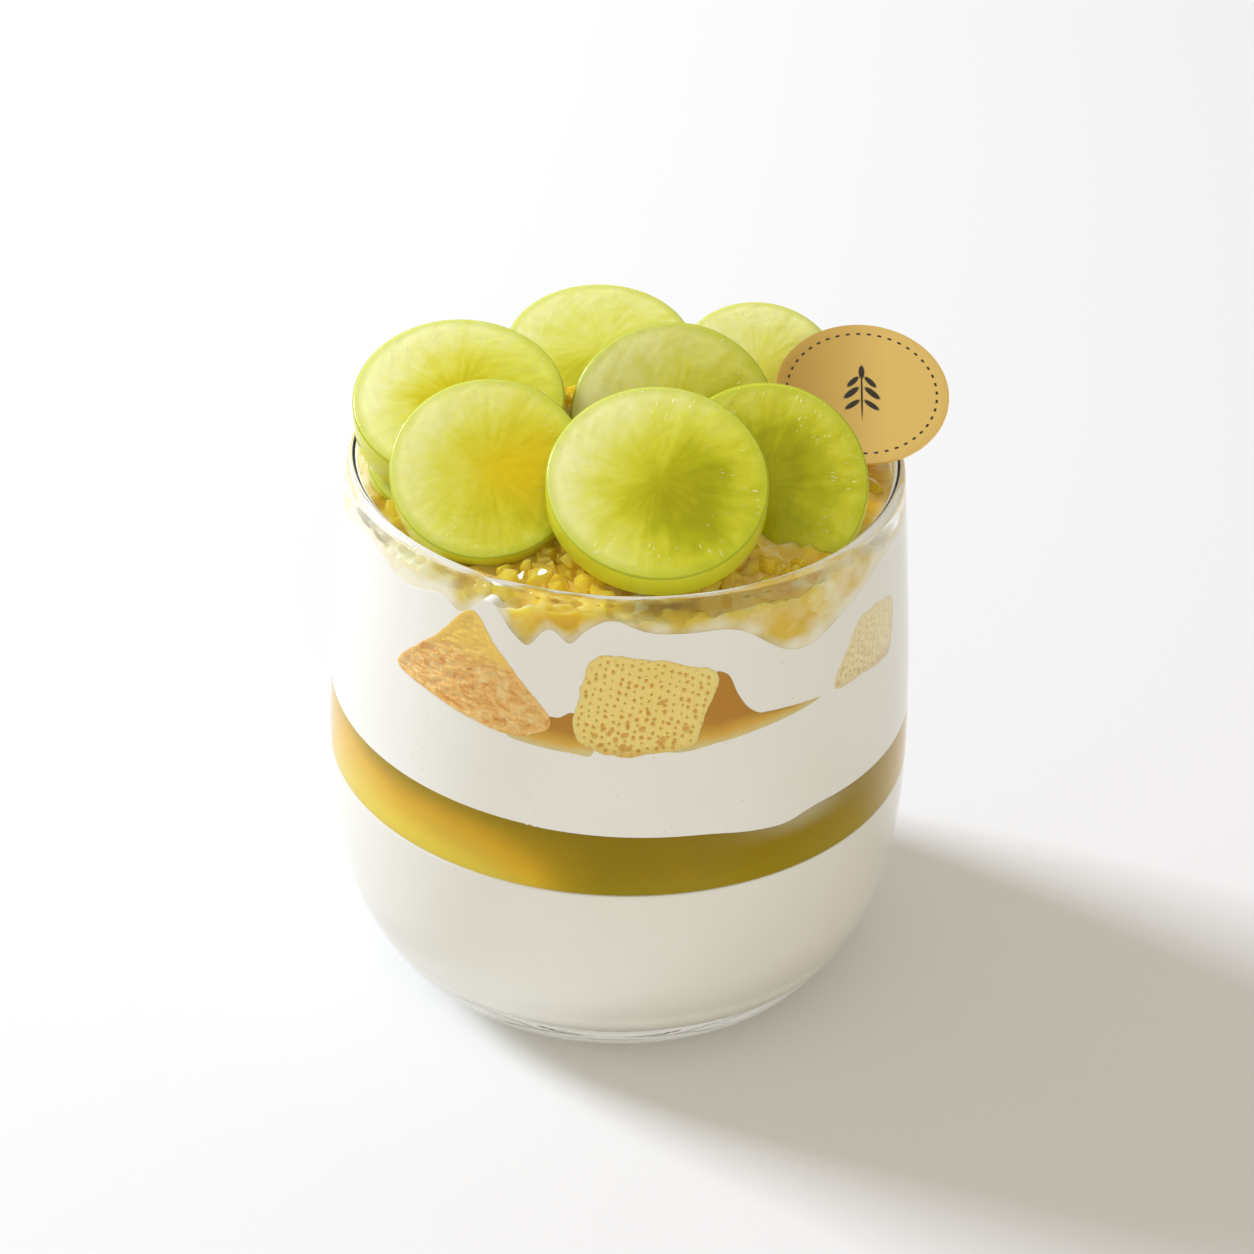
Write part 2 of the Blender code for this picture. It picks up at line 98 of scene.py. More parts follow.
def closed_mesh(name, rings, first, last):
    """A closed skin over rings of points, with a fan of triangles to one point at each end. Its volume,
    summed over the faces, tells whether the faces look outwards, and they are turned round if not."""
    count, steps = rings.shape[:2]
    points = np.concatenate([rings.reshape(-1, 3), [first, last]]) * MM
    here = np.arange(steps)
    after = (here + 1) % steps
    low = (np.arange(count - 1) * steps)[:, None]
    quads = np.stack([low + here, low + after, low + steps + after, low + steps + here], 2).reshape(-1, 4)
    end = (count - 1) * steps
    start_fan = np.stack([after, here, np.full(steps, count * steps)], 1)
    end_fan = np.stack([end + here, end + after, np.full(steps, count * steps + 1)], 1)
    fans = np.concatenate([start_fan, end_fan])
    corners = points[np.concatenate([quads[:, :3], quads[:, [0, 2, 3]], fans])]
    volume = np.einsum("ij,ij->", corners[:, 0], np.cross(corners[:, 1], corners[:, 2]))
    if volume < 0:
        quads, fans = quads[:, ::-1], fans[:, ::-1]
    return filled_mesh(name, points, quads, fans)


def filled_mesh(name, points, quads, triangles):
    """A mesh from arrays of points, in metres, and of the corners of its faces."""
    mesh = bpy.data.meshes.new(name)
    corners = np.concatenate([quads.ravel(), triangles.ravel()]).astype(np.int32)
    sizes = np.concatenate([np.full(len(quads), 4), np.full(len(triangles), 3)])
    mesh.vertices.add(len(points))
    mesh.vertices.foreach_set("co", points.astype(np.float32).ravel())
    mesh.loops.add(len(corners))
    mesh.loops.foreach_set("vertex_index", corners)
    mesh.polygons.add(len(sizes))
    mesh.polygons.foreach_set("loop_start", (np.cumsum(sizes) - sizes).astype(np.int32))
    mesh.update(calc_edges=True)
    mesh.shade_smooth()
    return mesh


def painted(mesh, name, values):
    """Keeps one number, or one vector, for each point of a mesh, for its material to read."""
    values = np.asarray(values, np.float32)
    kind, key = ("FLOAT", "value") if values.ndim == 1 else ("FLOAT_VECTOR", "vector")
    mesh.attributes.new(name, kind, "POINT").data.foreach_set(key, values.ravel())


def placed(mesh, coat, slot, *nodes):
    """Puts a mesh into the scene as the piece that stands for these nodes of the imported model."""
    piece = bpy.data.objects.new(mesh.name, mesh)
    bpy.context.scene.collection.objects.link(piece)
    mesh.materials.append(coat)
    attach(piece, "root")
    if nodes:
        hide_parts(*nodes)
    return piece


def linear(code):
    """A colour given as six hex digits in sRGB, as the linear red, green, blue and alpha of a socket."""
    shown = np.array([int(code[i:i + 2], 16) for i in (0, 2, 4)]) / 255
    light = np.where(shown <= 0.04045, shown / 12.92, ((shown + 0.055) / 1.055) ** 2.4)
    return (*light, 1.0)


def new_coat(name):
    """An empty material, and its tree of nodes."""
    coat = bpy.data.materials.new(name)
    coat.use_nodes = True
    coat.node_tree.nodes.clear()
    return coat, coat.node_tree


def add(tree, kind, inputs=None, stops=(), **settings):
    """Adds one node with its settings. An input is given a value, a colour's hex code, a socket, or a
    node, whose first output in use is meant. Stops are a colour ramp's places and colours, in order."""
    node = tree.nodes.new("ShaderNode" + kind)
    for key, value in settings.items():
        setattr(node, key, value)
    for key, value in (inputs or {}).items():
        if isinstance(value, bpy.types.Node):
            value = next(output for output in value.outputs if output.enabled)
        if isinstance(value, bpy.types.NodeSocket):
            tree.links.new(value, node.inputs[key])
        else:
            node.inputs[key].default_value = linear(value) if isinstance(value, str) else value
    if stops:
        marks = node.color_ramp.elements
        marks[0].position, marks[1].position = stops[0][0], stops[-1][0]
        for place, code in stops[1:-1]:
            marks.new(place)
        for mark, (place, code) in zip(marks, stops):
            mark.color = linear(code)
    return node


def let_lamps_through(tree, surface, tint):
    """Clear things are lit through: a lamp's rays pass straight, tinted, and the eye's rays are bent."""
    path = add(tree, "LightPath")
    straight = add(tree, "Math", {0: path.outputs["Is Shadow Ray"], 1: path.outputs["Is Diffuse Ray"]},
                   operation="MAXIMUM")
    passing = add(tree, "BsdfTransparent", {"Color": tint})
    both = {0: straight, 1: surface, 2: passing}
    return add(tree, "MixShader", both)


def glass_coat():
    """Soda-lime glass, IOR 1.5, pressed and fire-polished: smooth, with a faint green-grey body."""
    coat, tree = new_coat("Soda-lime glass, fire-polished")
    surface = add(tree, "BsdfPrincipled", {
        "Base Color": "FBFDFC", "Roughness": 0.0, "IOR": 1.5, "Transmission Weight": 1.0,
        "Specular Tint": "8C8C8C"})
    shown = let_lamps_through(tree, surface, "F6F8F6")
    add(tree, "OutputMaterial", {"Surface": shown})
    return coat


lip = WALL / 2
lip_height = CUP_HEIGHT - lip
corner_height = BASE + FLOOR_CORNER
corner_centre = (inner_radius(corner_height) - FLOOR_CORNER, corner_height)
hollow = np.linspace(1, 0, 9)[:-1]
cup_profile = np.concatenate([
    arc(corner_centre, FLOOR_CORNER, -90, 0, 8)[:-1],
    along_wall(inner_radius, corner_height, lip_height, 44),
    arc((outer_radius(lip_height) - lip, lip_height), lip, 180, 0, 14)[1:-1],
    along_wall(outer_radius, lip_height, KNOT_HEIGHTS[0], 60),
    arc((FOOT_RADIUS, FOOT_ROUNDING), FOOT_ROUNDING, -25, -90, 6),
    np.stack([HOLLOW_RADIUS * hollow, HOLLOW_DEPTH * (1 - hollow ** 2) ** 2], 1),
])
cup = closed_mesh("cup_clear", turned(cup_profile), (0, 0, BASE), (0, 0, HOLLOW_DEPTH))
placed(cup, glass_coat(), "clear_glass", "glass_cup")

# The milk pudding
# Panna-cotta-like pudding set in the bottom of the glass, so it takes the glass's inner form. What
# fills the glass reaches a little into the wall, so that no film of air shows between them.
INTO_WALL = 0.12
PUDDING_TOP = 28.85


def milk_coat(name, pale, shade, specks):
    """A milky food, too dense to be seen into, whose tone wanders by a few percent each 18 mm. Pin-holes
    of air are painted as small darker spots of shade, one each 2.4 mm, which is coarser than real ones so
    that they show. A pattern's scale on object coordinates is its repeats to the metre: 55 is one each 18
    mm."""
    coat, tree = new_coat(name)
    place = add(tree, "TexCoord").outputs["Object"]
    drift = add(tree, "TexNoise", {"Vector": place, "Scale": 55.0, "Detail": 3.0, "Roughness": 0.55})
    tone = add(tree, "Mix", {0: drift, 6: pale, 7: shade}, data_type="RGBA")
    air = add(tree, "TexVoronoi", {"Vector": place, "Scale": 420.0, "Randomness": 1.0})
    # Painted shade of the pin-holes: a small darker spot at each one.
    pinhole_shade = add(tree, "MapRange", {0: air.outputs["Distance"], 1: 0.0, 2: specks, 3: 1.0, 4: 0.0})
    relief = add(tree, "Bump", {"Strength": 0.12, "Distance": 0.0002, "Height": drift})
    tinted = add(tree, "Mix", {0: pinhole_shade, 6: tone, 7: "D9CDB6"}, data_type="RGBA")
    surface = add(tree, "BsdfPrincipled", {
        "Base Color": tinted, "Roughness": 0.55, "IOR": 1.36, "Specular IOR Level": 0.2,
        "Normal": relief})
    add(tree, "OutputMaterial", {"Surface": surface})
    return coat


def filling_radius(z):
    return inner_radius(z) + INTO_WALL


pudding_profile = np.concatenate([
    np.stack([np.linspace(6, 30, 5), np.full(5, PUDDING_TOP)], 1),
    along_wall(filling_radius, PUDDING_TOP, corner_height, 40),
    arc(corner_centre, FLOOR_CORNER + INTO_WALL, 0, -90, 8)[1:],
])
floor_level = BASE - INTO_WALL
pudding = closed_mesh("pudding", turned(pudding_profile), (0, 0, PUDDING_TOP), (0, 0, floor_level))
placed(pudding, milk_coat("Milk pudding, set", "F8F4EE", "F1EBE1", 0.05), "milk_pudding", "milk_pudding")

# The wine jelly
# A golden jelly poured on the set pudding. The window's light is painted in as a gold glow in its lower
# left, and the rest is a deep olive gold, partly its body's colour and partly painted shade.
JELLY_TOP = 37.25
JELLY_TILT = 1.0
SEAM = 0.12
GLOW_AZIMUTH = -133.0
GLOW_SPREAD = 31.0
GLOW_ENDS = ((-6.0, 15.0, 0.45), (-176.0, 16.0, 0.5))
MILKY_PATCH = ((-51.0, 7.5, 1.0),)
MILKY_DEPTH = 3.4


def swell(azimuth, swells):
    """A sum of bell curves round the glass: each has a centre, a spread and a height."""
    total = 0 * azimuth
    for centre, width, height in swells:
        away = (azimuth - centre + 180) % 360 - 180
        total = total + height * np.exp(-0.5 * (away / width) ** 2)
    return total


def jelly_lift(x):
    """The jelly's top is a tilted plane, a millimetre higher at the left than in the middle."""
    return -JELLY_TILT * x / 36.5


def wine_jelly_coat():
    """Gelatine jelly, IOR 1.36, a little cloudy: most of what shows is its own body, painted olive as shade
    and gold as a painted glow where the light gets in, and a third is seen through it. It takes up nearly
    all the blue. Its clouds are 14 mm across. Where a fold of cream sank in, it is milky."""
    coat, tree = new_coat("Wine jelly, set")
    painted_glow = add(tree, "Attribute", attribute_name="painted_glow").outputs["Fac"]
    place = add(tree, "TexCoord").outputs["Object"]
    cloud = add(tree, "TexNoise", {"Vector": place, "Scale": 70.0, "Detail": 2.0, "Distortion": 0.8})
    level = add(tree, "Math", {0: cloud, 1: 0.22, 2: painted_glow}, operation="MULTIPLY_ADD")
    ramp = add(tree, "ValToRGB", {0: level}, stops=(
        (0.08, "A58D00"), (0.3, "C2A206"), (0.62, "FDC62C"), (1.0, "FFDA50")))
    milky = add(tree, "Attribute", attribute_name="milky").outputs["Fac"]
    tone = add(tree, "Mix", {0: milky, 6: ramp, 7: "E6DAB4"}, data_type="RGBA")
    surface = add(tree, "BsdfPrincipled", {
        "Base Color": tone, "Roughness": 0.0, "IOR": 1.36, "Transmission Weight": 0.3,
        "Subsurface Weight": 0.5, "Subsurface Radius": (1.0, 0.8, 0.1), "Subsurface Scale": 0.005,
        "Specular Tint": "484848"})
    shown = let_lamps_through(tree, surface, "F8F0C8")
    body = add(tree, "VolumeAbsorption", {"Color": (0.985, 0.97, 0.0, 1.0), "Density": 600.0})
    add(tree, "OutputMaterial", {"Surface": shown, "Volume": body})
    return coat


jelly_bottom = PUDDING_TOP - SEAM
jelly_rings = turned(along_wall(filling_radius, jelly_bottom, JELLY_TOP + SEAM, 16))
rise = (jelly_rings[..., 2] - jelly_bottom) / (JELLY_TOP + SEAM - jelly_bottom)
azimuth = np.degrees(np.arctan2(jelly_rings[..., 1], jelly_rings[..., 0]))
away = (azimuth - GLOW_AZIMUTH + 180) % 360 - 180
# Painted glow of the window's light: at the lower left, fading upwards, and fainter at two ends round the
# glass.
painted_glow = np.exp(-(away / GLOW_SPREAD) ** 4) * (1.1 - 1.0 * rise) + swell(azimuth, GLOW_ENDS)
milky = swell(azimuth, MILKY_PATCH) * np.clip(1 - (JELLY_TOP - jelly_rings[..., 2]) / MILKY_DEPTH, 0, 1)
jelly_rings[..., 2] += rise * jelly_lift(jelly_rings[..., 0])
jelly = closed_mesh("wine_jelly", jelly_rings, (0, 0, jelly_bottom), (0, 0, JELLY_TOP + SEAM))
painted(jelly, "painted_glow", np.append(painted_glow.ravel(), [0.2, 0.2]))
painted(jelly, "milky", np.append(milky.ravel(), [0, 0]))
jelly.set_sharp_from_angle(angle=np.radians(40))
placed(jelly, wine_jelly_coat(), "wine_jelly", "jelly_band")

# The whipped cream
# Cream piped on the jelly, and more spooned over the sponge and up the glass in soft waves: it has run
# together and shows no seam, so one piece stands for both. It stands back from the glass where sponge
# and syrup are pressed on, whose outlines are given first, as azimuth and height round each.
SPONGE_OUTLINES = {
    "crust_left": ((-139.5, 53.0), (-131.0, 51.3), (-120.0, 50.0), (-111.0, 49.3), (-104.2, 50.9),
                   (-103.6, 52.7), (-109.8, 56.8), (-115.5, 60.5), (-121.4, 64.0), (-129.0, 59.3)),
    "crumb_front": ((-98.4, 50.6), (-91.5, 48.4), (-84.0, 48.6), (-75.4, 49.4), (-73.4, 52.6),
                    (-70.4, 58.3), (-76.0, 59.8), (-82.0, 60.8), (-91.7, 61.4), (-95.9, 60.4),
                    (-98.0, 55.4)),
    "crumb_right": ((-43.0, 51.5), (-33.0, 51.0), (-23.0, 50.4), (-20.4, 54.0), (-21.0, 57.6),
                    (-33.0, 58.9), (-38.5, 56.0)),
    "crumb_back_right": ((16.0, 50.1), (30.0, 49.6), (44.0, 50.0), (47.6, 54.0), (50.0, 57.4),
                         (36.0, 58.9), (22.0, 58.7), (18.0, 54.0)),
    "crust_back": ((74.0, 50.1), (88.0, 49.7), (103.0, 50.5), (101.0, 54.4), (98.0, 58.7),
                   (89.0, 59.3), (80.0, 58.1), (76.0, 54.0)),
    "crumb_back_left": ((138.0, 50.2), (152.0, 49.7), (166.0, 50.4), (165.0, 54.2), (163.0, 58.3),
                        (152.0, 59.0), (141.0, 57.6), (139.0, 54.0)),
}
SYRUP_OUTLINES = {
    "syrup_left": ((-112.0, 49.2), (-106.0, 48.6), (-99.0, 48.3), (-95.0, 48.3), (-95.0, 51.6),
                   (-98.8, 53.6), (-101.6, 52.8), (-104.5, 52.6), (-108.0, 51.0)),
    "syrup_front": ((-80.0, 48.9), (-70.0, 49.3), (-61.0, 50.0), (-52.0, 50.7), (-47.0, 51.3),
                    (-52.0, 51.5), (-59.3, 51.7), (-63.5, 52.9), (-66.2, 55.2), (-68.6, 58.2),
                    (-73.0, 58.4), (-79.0, 54.0)),
    "syrup_back": ((100.5, 49.7), (115.0, 49.2), (127.0, 49.5), (121.0, 51.4), (112.0, 52.4),
                   (104.6, 56.2), (98.5, 54.0)),
}
SYRUP_MIDDLES = {"syrup_left": (-101.5, 50.6), "syrup_front": (-64.5, 50.7), "syrup_back": (110.0, 50.8)}
OUTLINE_STEPS = 360
WALL_RADIUS = 33.9
RECESS = 2.6
RECESS_START = 0.35
RECESS_WIDTH = 0.4
LAYER_STEPS = 540
LAYER_EDGE = 30.0
EDGE_RADIUS = 35.0
SKIN_DEPTH = 1.2
CREAM_FOLD = ((-62.0, 5.0, 0.7), (-55.0, 3.5, 0.7))
UPPER_EDGE = 62.0
UPPER_MIDDLE = 60.2
UPPER_SWELLS = (
    (-125.0, 8.0, 2.9),
    (-113.0, 3.0, -1.6),
    (-84.0, 13.0, 2.2),
    (-55.0, 6.0, -2.6),
    (-20.0, 14.0, 2.4),
    (-154.0, 9.0, 3.4),
    (-124.0, 2.2, -1.7),
    (-115.8, 3.0, 2.9),
    (-108.6, 1.3, -0.9),
    (-104.3, 1.8, 1.3),
    (-100.0, 1.3, -0.9),
    (-92.5, 4.0, 2.1),
    (-66.0, 6.0, 1.2),
    (-46.0, 5.5, -2.0),
    (-35.0, 5.0, -1.0),
    (38.0, 12.0, 1.6),
    (84.0, 10.0, -1.2),
    (128.0, 12.0, 1.8),
    (172.0, 10.0, -1.4),
)


def azimuth_of(x, y):
    return np.degrees(np.arctan2(y, x))


def ease(t):
    """Rises from 0 to 1 with no slope at either end: three squares less two cubes."""
    t = np.clip(t, 0, 1)
    return t * t * (3 - 2 * t)


def layer_rings(low_at, high_at, reach, side_steps, top_steps):
    """A layer between two surfaces of height: rings across its top from the middle out, then rings down
    its side, where each point's radius is that of the wall at its height."""
    turn = np.linspace(0, 2 * np.pi, LAYER_STEPS, endpoint=False)
    wall_x, wall_y = EDGE_RADIUS * np.cos(turn), EDGE_RADIUS * np.sin(turn)
    high, low = high_at(wall_x, wall_y), low_at(wall_x, wall_y)
    t = np.linspace(0, 1, side_steps + 1)[:, None]
    z = high + (low - high) * t
    radius = inner_radius(z) + reach
    side = np.stack([radius * np.cos(turn), radius * np.sin(turn), z], 2)
    across = np.linspace(0, 1, top_steps + 1)[1:-1, None] * radius[0]
    x, y = across * np.cos(turn), across * np.sin(turn)
    return np.concatenate([np.stack([x, y, high_at(x, y)], 2), side])


def closed_curve(points, steps):
    """A smooth loop through points: each span is a cubic whose slopes at its ends are half the step from
    the point before to the point after. The loop is then spaced evenly along its length."""
    points = np.array(points, float)
    t = np.linspace(0, 1, 24, endpoint=False)[None, :, None]
    before, here = np.roll(points, 1, 0)[:, None], points[:, None]
    after, beyond = np.roll(points, -1, 0)[:, None], np.roll(points, -2, 0)[:, None]
    slope, next_slope = (after - before) / 2, (beyond - here) / 2
    fine = (here * (1 + 2 * t) * (1 - t) ** 2 + slope * t * (1 - t) ** 2
            + after * t * t * (3 - 2 * t) + next_slope * t * t * (t - 1)).reshape(-1, 2)
    fine = np.concatenate([fine, fine[:1]])
    length = np.concatenate([[0], np.cumsum(np.hypot(*np.diff(fine, axis=0).T))])
    even = np.linspace(0, length[-1], steps, endpoint=False)
    return np.stack([np.interp(even, length, fine[:, 0]), np.interp(even, length, fine[:, 1])], 1)


def wall_outline(points, steps=OUTLINE_STEPS):
    """An outline given as azimuth and height, as a smooth loop in mm along the wall and in height."""
    flat = np.array([(np.radians(azimuth) * WALL_RADIUS, z) for azimuth, z in points])
    return closed_curve(flat, steps)


def share_out(outline, middle, s, z):
    """How far out a place lies from an outline's middle, as a share of the outline's own distance in
    that direction: 0 in the middle and 1 on the outline."""
    turn = np.arctan2(outline[:, 1] - middle[1], outline[:, 0] - middle[0])
    order = np.argsort(turn)
    far = np.hypot(*(outline - middle).T)[order]
    here = np.arctan2(z - middle[1], s - middle[0])
    return np.hypot(s - middle[0], z - middle[1]) / np.interp(here, turn[order], far, period=2 * np.pi)


def inside_by(outline, middle, s, z):
    """How far inside an outline each place lies, in mm from its nearest point; 0 outside."""
    depth = np.zeros(np.shape(s))
    low, high = outline.min(0), outline.max(0)
    held = (s > low[0]) & (s < high[0]) & (z > low[1]) & (z < high[1])
    held &= share_out(outline, middle, s, z) < 1
    places = np.stack([s[held], z[held]], 1)
    depth[held] = np.hypot(*(places[:, None] - outline[::3]).T).min(0)
    return depth


def set_back(rings):
    """Draws the cream back from the glass inside each outline, so that what is pressed there shows."""
    r = np.hypot(rings[..., 0], rings[..., 1])
    s = np.arctan2(rings[..., 1], rings[..., 0]) * WALL_RADIUS
    z = rings[..., 2]
    depth = np.zeros(r.shape)
    for outline, middle in PRESSED.values():
        within = inside_by(outline, middle, s, z)
        depth = np.maximum(depth, RECESS * ease((within - RECESS_START) / RECESS_WIDTH))
    near = ease(r - inner_radius(z) + SKIN_DEPTH)
    rings[..., :2] *= (1 - depth * near / r)[..., None]
    return rings


PRESSED = {}
for name, points in {**SPONGE_OUTLINES, **SYRUP_OUTLINES}.items():
    outline = wall_outline(points)
    middle = outline.mean(0)
    if name in SYRUP_MIDDLES:
        middle = np.array([np.radians(SYRUP_MIDDLES[name][0]) * WALL_RADIUS, SYRUP_MIDDLES[name][1]])
    PRESSED[name] = outline, middle


def lower_cream_floor(x, y):
    """The jelly's top, with one soft fold of cream that sank a little way into the jelly."""
    return JELLY_TOP + jelly_lift(x) - swell(azimuth_of(x, y), CREAM_FOLD)


def upper_cream_height(x, y):
    """Sunk and level in the middle, easing up to the waved edge at the wall."""
    out = ease(np.hypot(x, y) / inner_radius(UPPER_EDGE) * 1.25 - 0.25)
    edge = UPPER_EDGE + swell(azimuth_of(x, y), UPPER_SWELLS)
    return UPPER_MIDDLE + (edge - UPPER_MIDDLE) * out


cream_rings = layer_rings(lower_cream_floor, upper_cream_height, INTO_WALL + 0.01, 150, 16)
cream = closed_mesh("cream", set_back(cream_rings), (0, 0, UPPER_MIDDLE), (0, 0, JELLY_TOP))
cream.set_sharp_from_angle(angle=np.radians(LAYER_EDGE))
cream_coat = milk_coat("Whipped cream", "FBF8F3", "F5F0E8", 0.07)
placed(cream, cream_coat, "whipped_cream", "cream_lower", "cream_upper")

# The cut sponge
# Offcuts of baked sponge pressed on the glass. Most show their open crumb, whose cells were cut
# through and stand in rows; two show the browned outside. Cells are real hollows behind the glass.
SPONGE_RINGS = 76
SPONGE_DEPTH = 11.0
LARGE_CELLS = 20


def wander(x, y, z, seed):
    """Smooth chance values from -1 to 1: one at each whole-number point of space, eased in between."""
    base = [np.floor(v) for v in (x, y, z)]
    part = [ease(v - b) for v, b in zip((x, y, z), base)]
    total = 0.0
    for corner in range(8):
        step = [(corner >> i) & 1 for i in range(3)]
        cell = [b + s for b, s in zip(base, step)]
        chance = np.sin(cell[0] * 127.1 + cell[1] * 311.7 + cell[2] * 74.7 + seed * 19.19) * 43758.5453
        weight = 1.0
        for p, s in zip(part, step):
            weight = weight * (p if s else 1 - p)
        total = total + weight * (2 * (chance - np.floor(chance)) - 1)
    return total


def hollows(s, z, centres, radii, stretch):
    """How deep each place lies in the deepest of many round hollows: the root of one less the square of
    its distance over the hollow's radius, and 0 outside them all."""
    deepest = np.zeros(s.shape)
    for (cs, cz), radius, long in zip(centres, radii, stretch):
        apart = ((s - cs) / radius) ** 2 + ((z - cz) / (radius * long)) ** 2
        deepest = np.maximum(deepest, np.sqrt(np.maximum(0, 1 - apart)))
    return deepest


def crumb_cells(outline, seed):
    """Cells in upright rows across a cut face, leaning a little, jittered, some left out, and growing
    towards the lower edge. Each has a place, a radius, and a height over its width."""
    draw = np.random.default_rng(seed)
    low, high = outline.min(0), outline.max(0)
    rows, columns = np.mgrid[0:int((high[1] - low[1]) / 0.95) + 2, -3:int((high[0] - low[0]) / 0.95) + 2]
    z = low[1] + (rows + 0.5 * (columns % 2)) * 0.95 + draw.uniform(-0.24, 0.24, rows.shape)
    s = low[0] + columns * 0.95 + 0.16 * (z - low[1]) + draw.uniform(-0.16, 0.16, rows.shape)
    grown = 1 - np.clip((z - low[1]) / (high[1] - low[1]), 0, 1)
    radii = (0.15 + 0.08 * grown) * draw.uniform(0.6, 1.4, rows.shape)
    stretch = draw.uniform(0.85, 1.45, rows.shape)
    large_s = draw.uniform(low[0], high[0], LARGE_CELLS)
    large_z = low[1] + np.abs(draw.normal(0, 0.32, LARGE_CELLS)) * (high[1] - low[1])
    places = np.stack([np.append(s, large_s), np.append(z, large_z)], 1)
    radii = np.append(radii, draw.uniform(0.26, 0.52, LARGE_CELLS))
    return places, radii, np.append(stretch, draw.uniform(0.8, 1.3, LARGE_CELLS))


def crumb_coat():
    """Egg sponge cut open: pale yellow walls of crumb round hollows painted a darker gold as shade, matt,
    with a grain of 1.1 mm and a tone that drifts each 6 mm. The wetness says how far cream is smeared
    over a place, and how far syrup has soaked in."""
    coat, tree = new_coat("Sponge crumb, cut open")
    cell = add(tree, "Attribute", attribute_name="cell").outputs["Fac"]
    place = add(tree, "TexCoord").outputs["Object"]
    fine = add(tree, "TexNoise", {"Vector": place, "Scale": 900.0, "Detail": 4.0})
    drift = add(tree, "TexNoise", {"Vector": place, "Scale": 160.0, "Detail": 2.0})
    walls = add(tree, "Mix", {0: drift, 6: "FFE796", 7: "FCDA7C"}, data_type="RGBA")
    wetness = add(tree, "Attribute", attribute_name="wetness").outputs["Vector"]
    wetness = add(tree, "SeparateXYZ", {0: wetness})
    # Painted shade: the deeper a place lies in a cell, the darker gold it is painted.
    deep_and_shaded = add(tree, "MapRange", {0: cell, 1: 0.25, 2: 1.0, 4: 0.72})
    tone = add(tree, "Mix", {0: deep_and_shaded, 6: walls, 7: "EAB445"}, data_type="RGBA")
    tone = add(tree, "Mix", {0: wetness.outputs[1], 6: tone, 7: "DCA548"}, data_type="RGBA")
    tone = add(tree, "Mix", {0: wetness.outputs[0], 6: tone, 7: "F6F0E2"}, data_type="RGBA")
    relief = add(tree, "Bump", {"Strength": 0.5, "Distance": 0.0001, "Height": fine})
    surface = add(tree, "BsdfPrincipled", {
        "Base Color": tone, "Roughness": 0.85, "Specular IOR Level": 0.15,
        "Subsurface Weight": 0.25, "Subsurface Radius": (1.0, 0.7, 0.3), "Subsurface Scale": 0.002,
        "Normal": relief})
    add(tree, "OutputMaterial", {"Surface": surface})
    return coat


def crust_coat():
    """The browned outside of a sponge: orange-yellow where it was only set, and brown where it lay on the
    tin, in streaks of 1.4 by 1 mm. The attribute says how far down the brown part a place is."""
    coat, tree = new_coat("Sponge crust, baked")
    brown = add(tree, "Attribute", attribute_name="brown").outputs["Fac"]
    place = add(tree, "TexCoord").outputs["Object"]
    slant = add(tree, "Mapping", {"Vector": place, "Rotation": (0.0, 0.6, 0.35), "Scale": (700, 700, 950)})
    streak = add(tree, "TexNoise", {"Vector": slant, "Scale": 1.0, "Detail": 4.0,
                                    "Roughness": 0.7, "Distortion": 0.6})
    set_part = add(tree, "Mix", {0: streak, 6: "FFDC74", 7: "FBC85C"}, data_type="RGBA")
    ramp = add(tree, "ValToRGB", {0: streak}, stops=(
        (0.34, "DE9C4A"), (0.5, "F8C370"), (0.66, "FBDC98")))
    tone = add(tree, "Mix", {0: brown, 6: set_part, 7: ramp}, data_type="RGBA")
    relief = add(tree, "Bump", {"Strength": 0.35, "Distance": 0.0002, "Height": streak})
    surface = add(tree, "BsdfPrincipled", {
        "Base Color": tone, "Roughness": 0.7, "Specular IOR Level": 0.25,
        "Subsurface Weight": 0.12, "Subsurface Radius": (1.0, 0.8, 0.5), "Subsurface Scale": 0.001,
        "Normal": relief})
    add(tree, "OutputMaterial", {"Surface": surface})
    return coat


def pressed_piece(name, outline, depth, dents, reach):
    """A piece pressed on the glass. Its outline, in mm along the wall and in height, shrinks to its
    middle in even rings; each point stands at the wall's radius plus a reach less its dent, and the
    sides run in radially to a flat back. Gives the mesh and the flat place of each point."""
    middle = outline.mean(0)
    share = np.linspace(0, 1, SPONGE_RINGS + 1)[1:, None, None] ** 0.8
    flat = middle + (outline - middle) * share
    azimuth = flat[..., 0] / WALL_RADIUS
    radius = inner_radius(flat[..., 1]) + reach - dents(flat[..., 0], flat[..., 1])
    back = np.stack([radius[-1] - depth * t for t in (0.1, 0.35, 1.0)])
    radius = np.concatenate([radius, back])
    azimuth = np.concatenate([azimuth, np.repeat(azimuth[-1:], 3, 0)])
    z = np.concatenate([flat[..., 1], np.repeat(flat[-1:, :, 1], 3, 0)])
    rings = np.stack([radius * np.cos(azimuth), radius * np.sin(azimuth), z], 2)
    turn, height = middle[0] / WALL_RADIUS, middle[1]
    toward = np.array([np.cos(turn), np.sin(turn), 0])
    front = toward * (inner_radius(height) + reach - dents(middle[0], middle[1])) + [0, 0, height]
    rear = toward * (inner_radius(height) - depth) + [0, 0, height]
    spots = np.concatenate([flat.reshape(-1, 2), np.repeat(flat[-1:], 3, 0).reshape(-1, 2),
                            [middle, middle]])
    return closed_mesh(name, rings, front, rear), spots


def frayed(outline, seed, size):
    """Pushes each point of an outline in or out by chance, in scallops about a cell wide."""
    middle = outline.mean(0)
    push = wander(outline[:, 0] * 1.3, outline[:, 1] * 1.3, 0 * outline[:, 0], seed)
    away = (outline - middle) / np.hypot(*(outline - middle).T)[:, None]
    return outline + away * (push * size)[:, None]


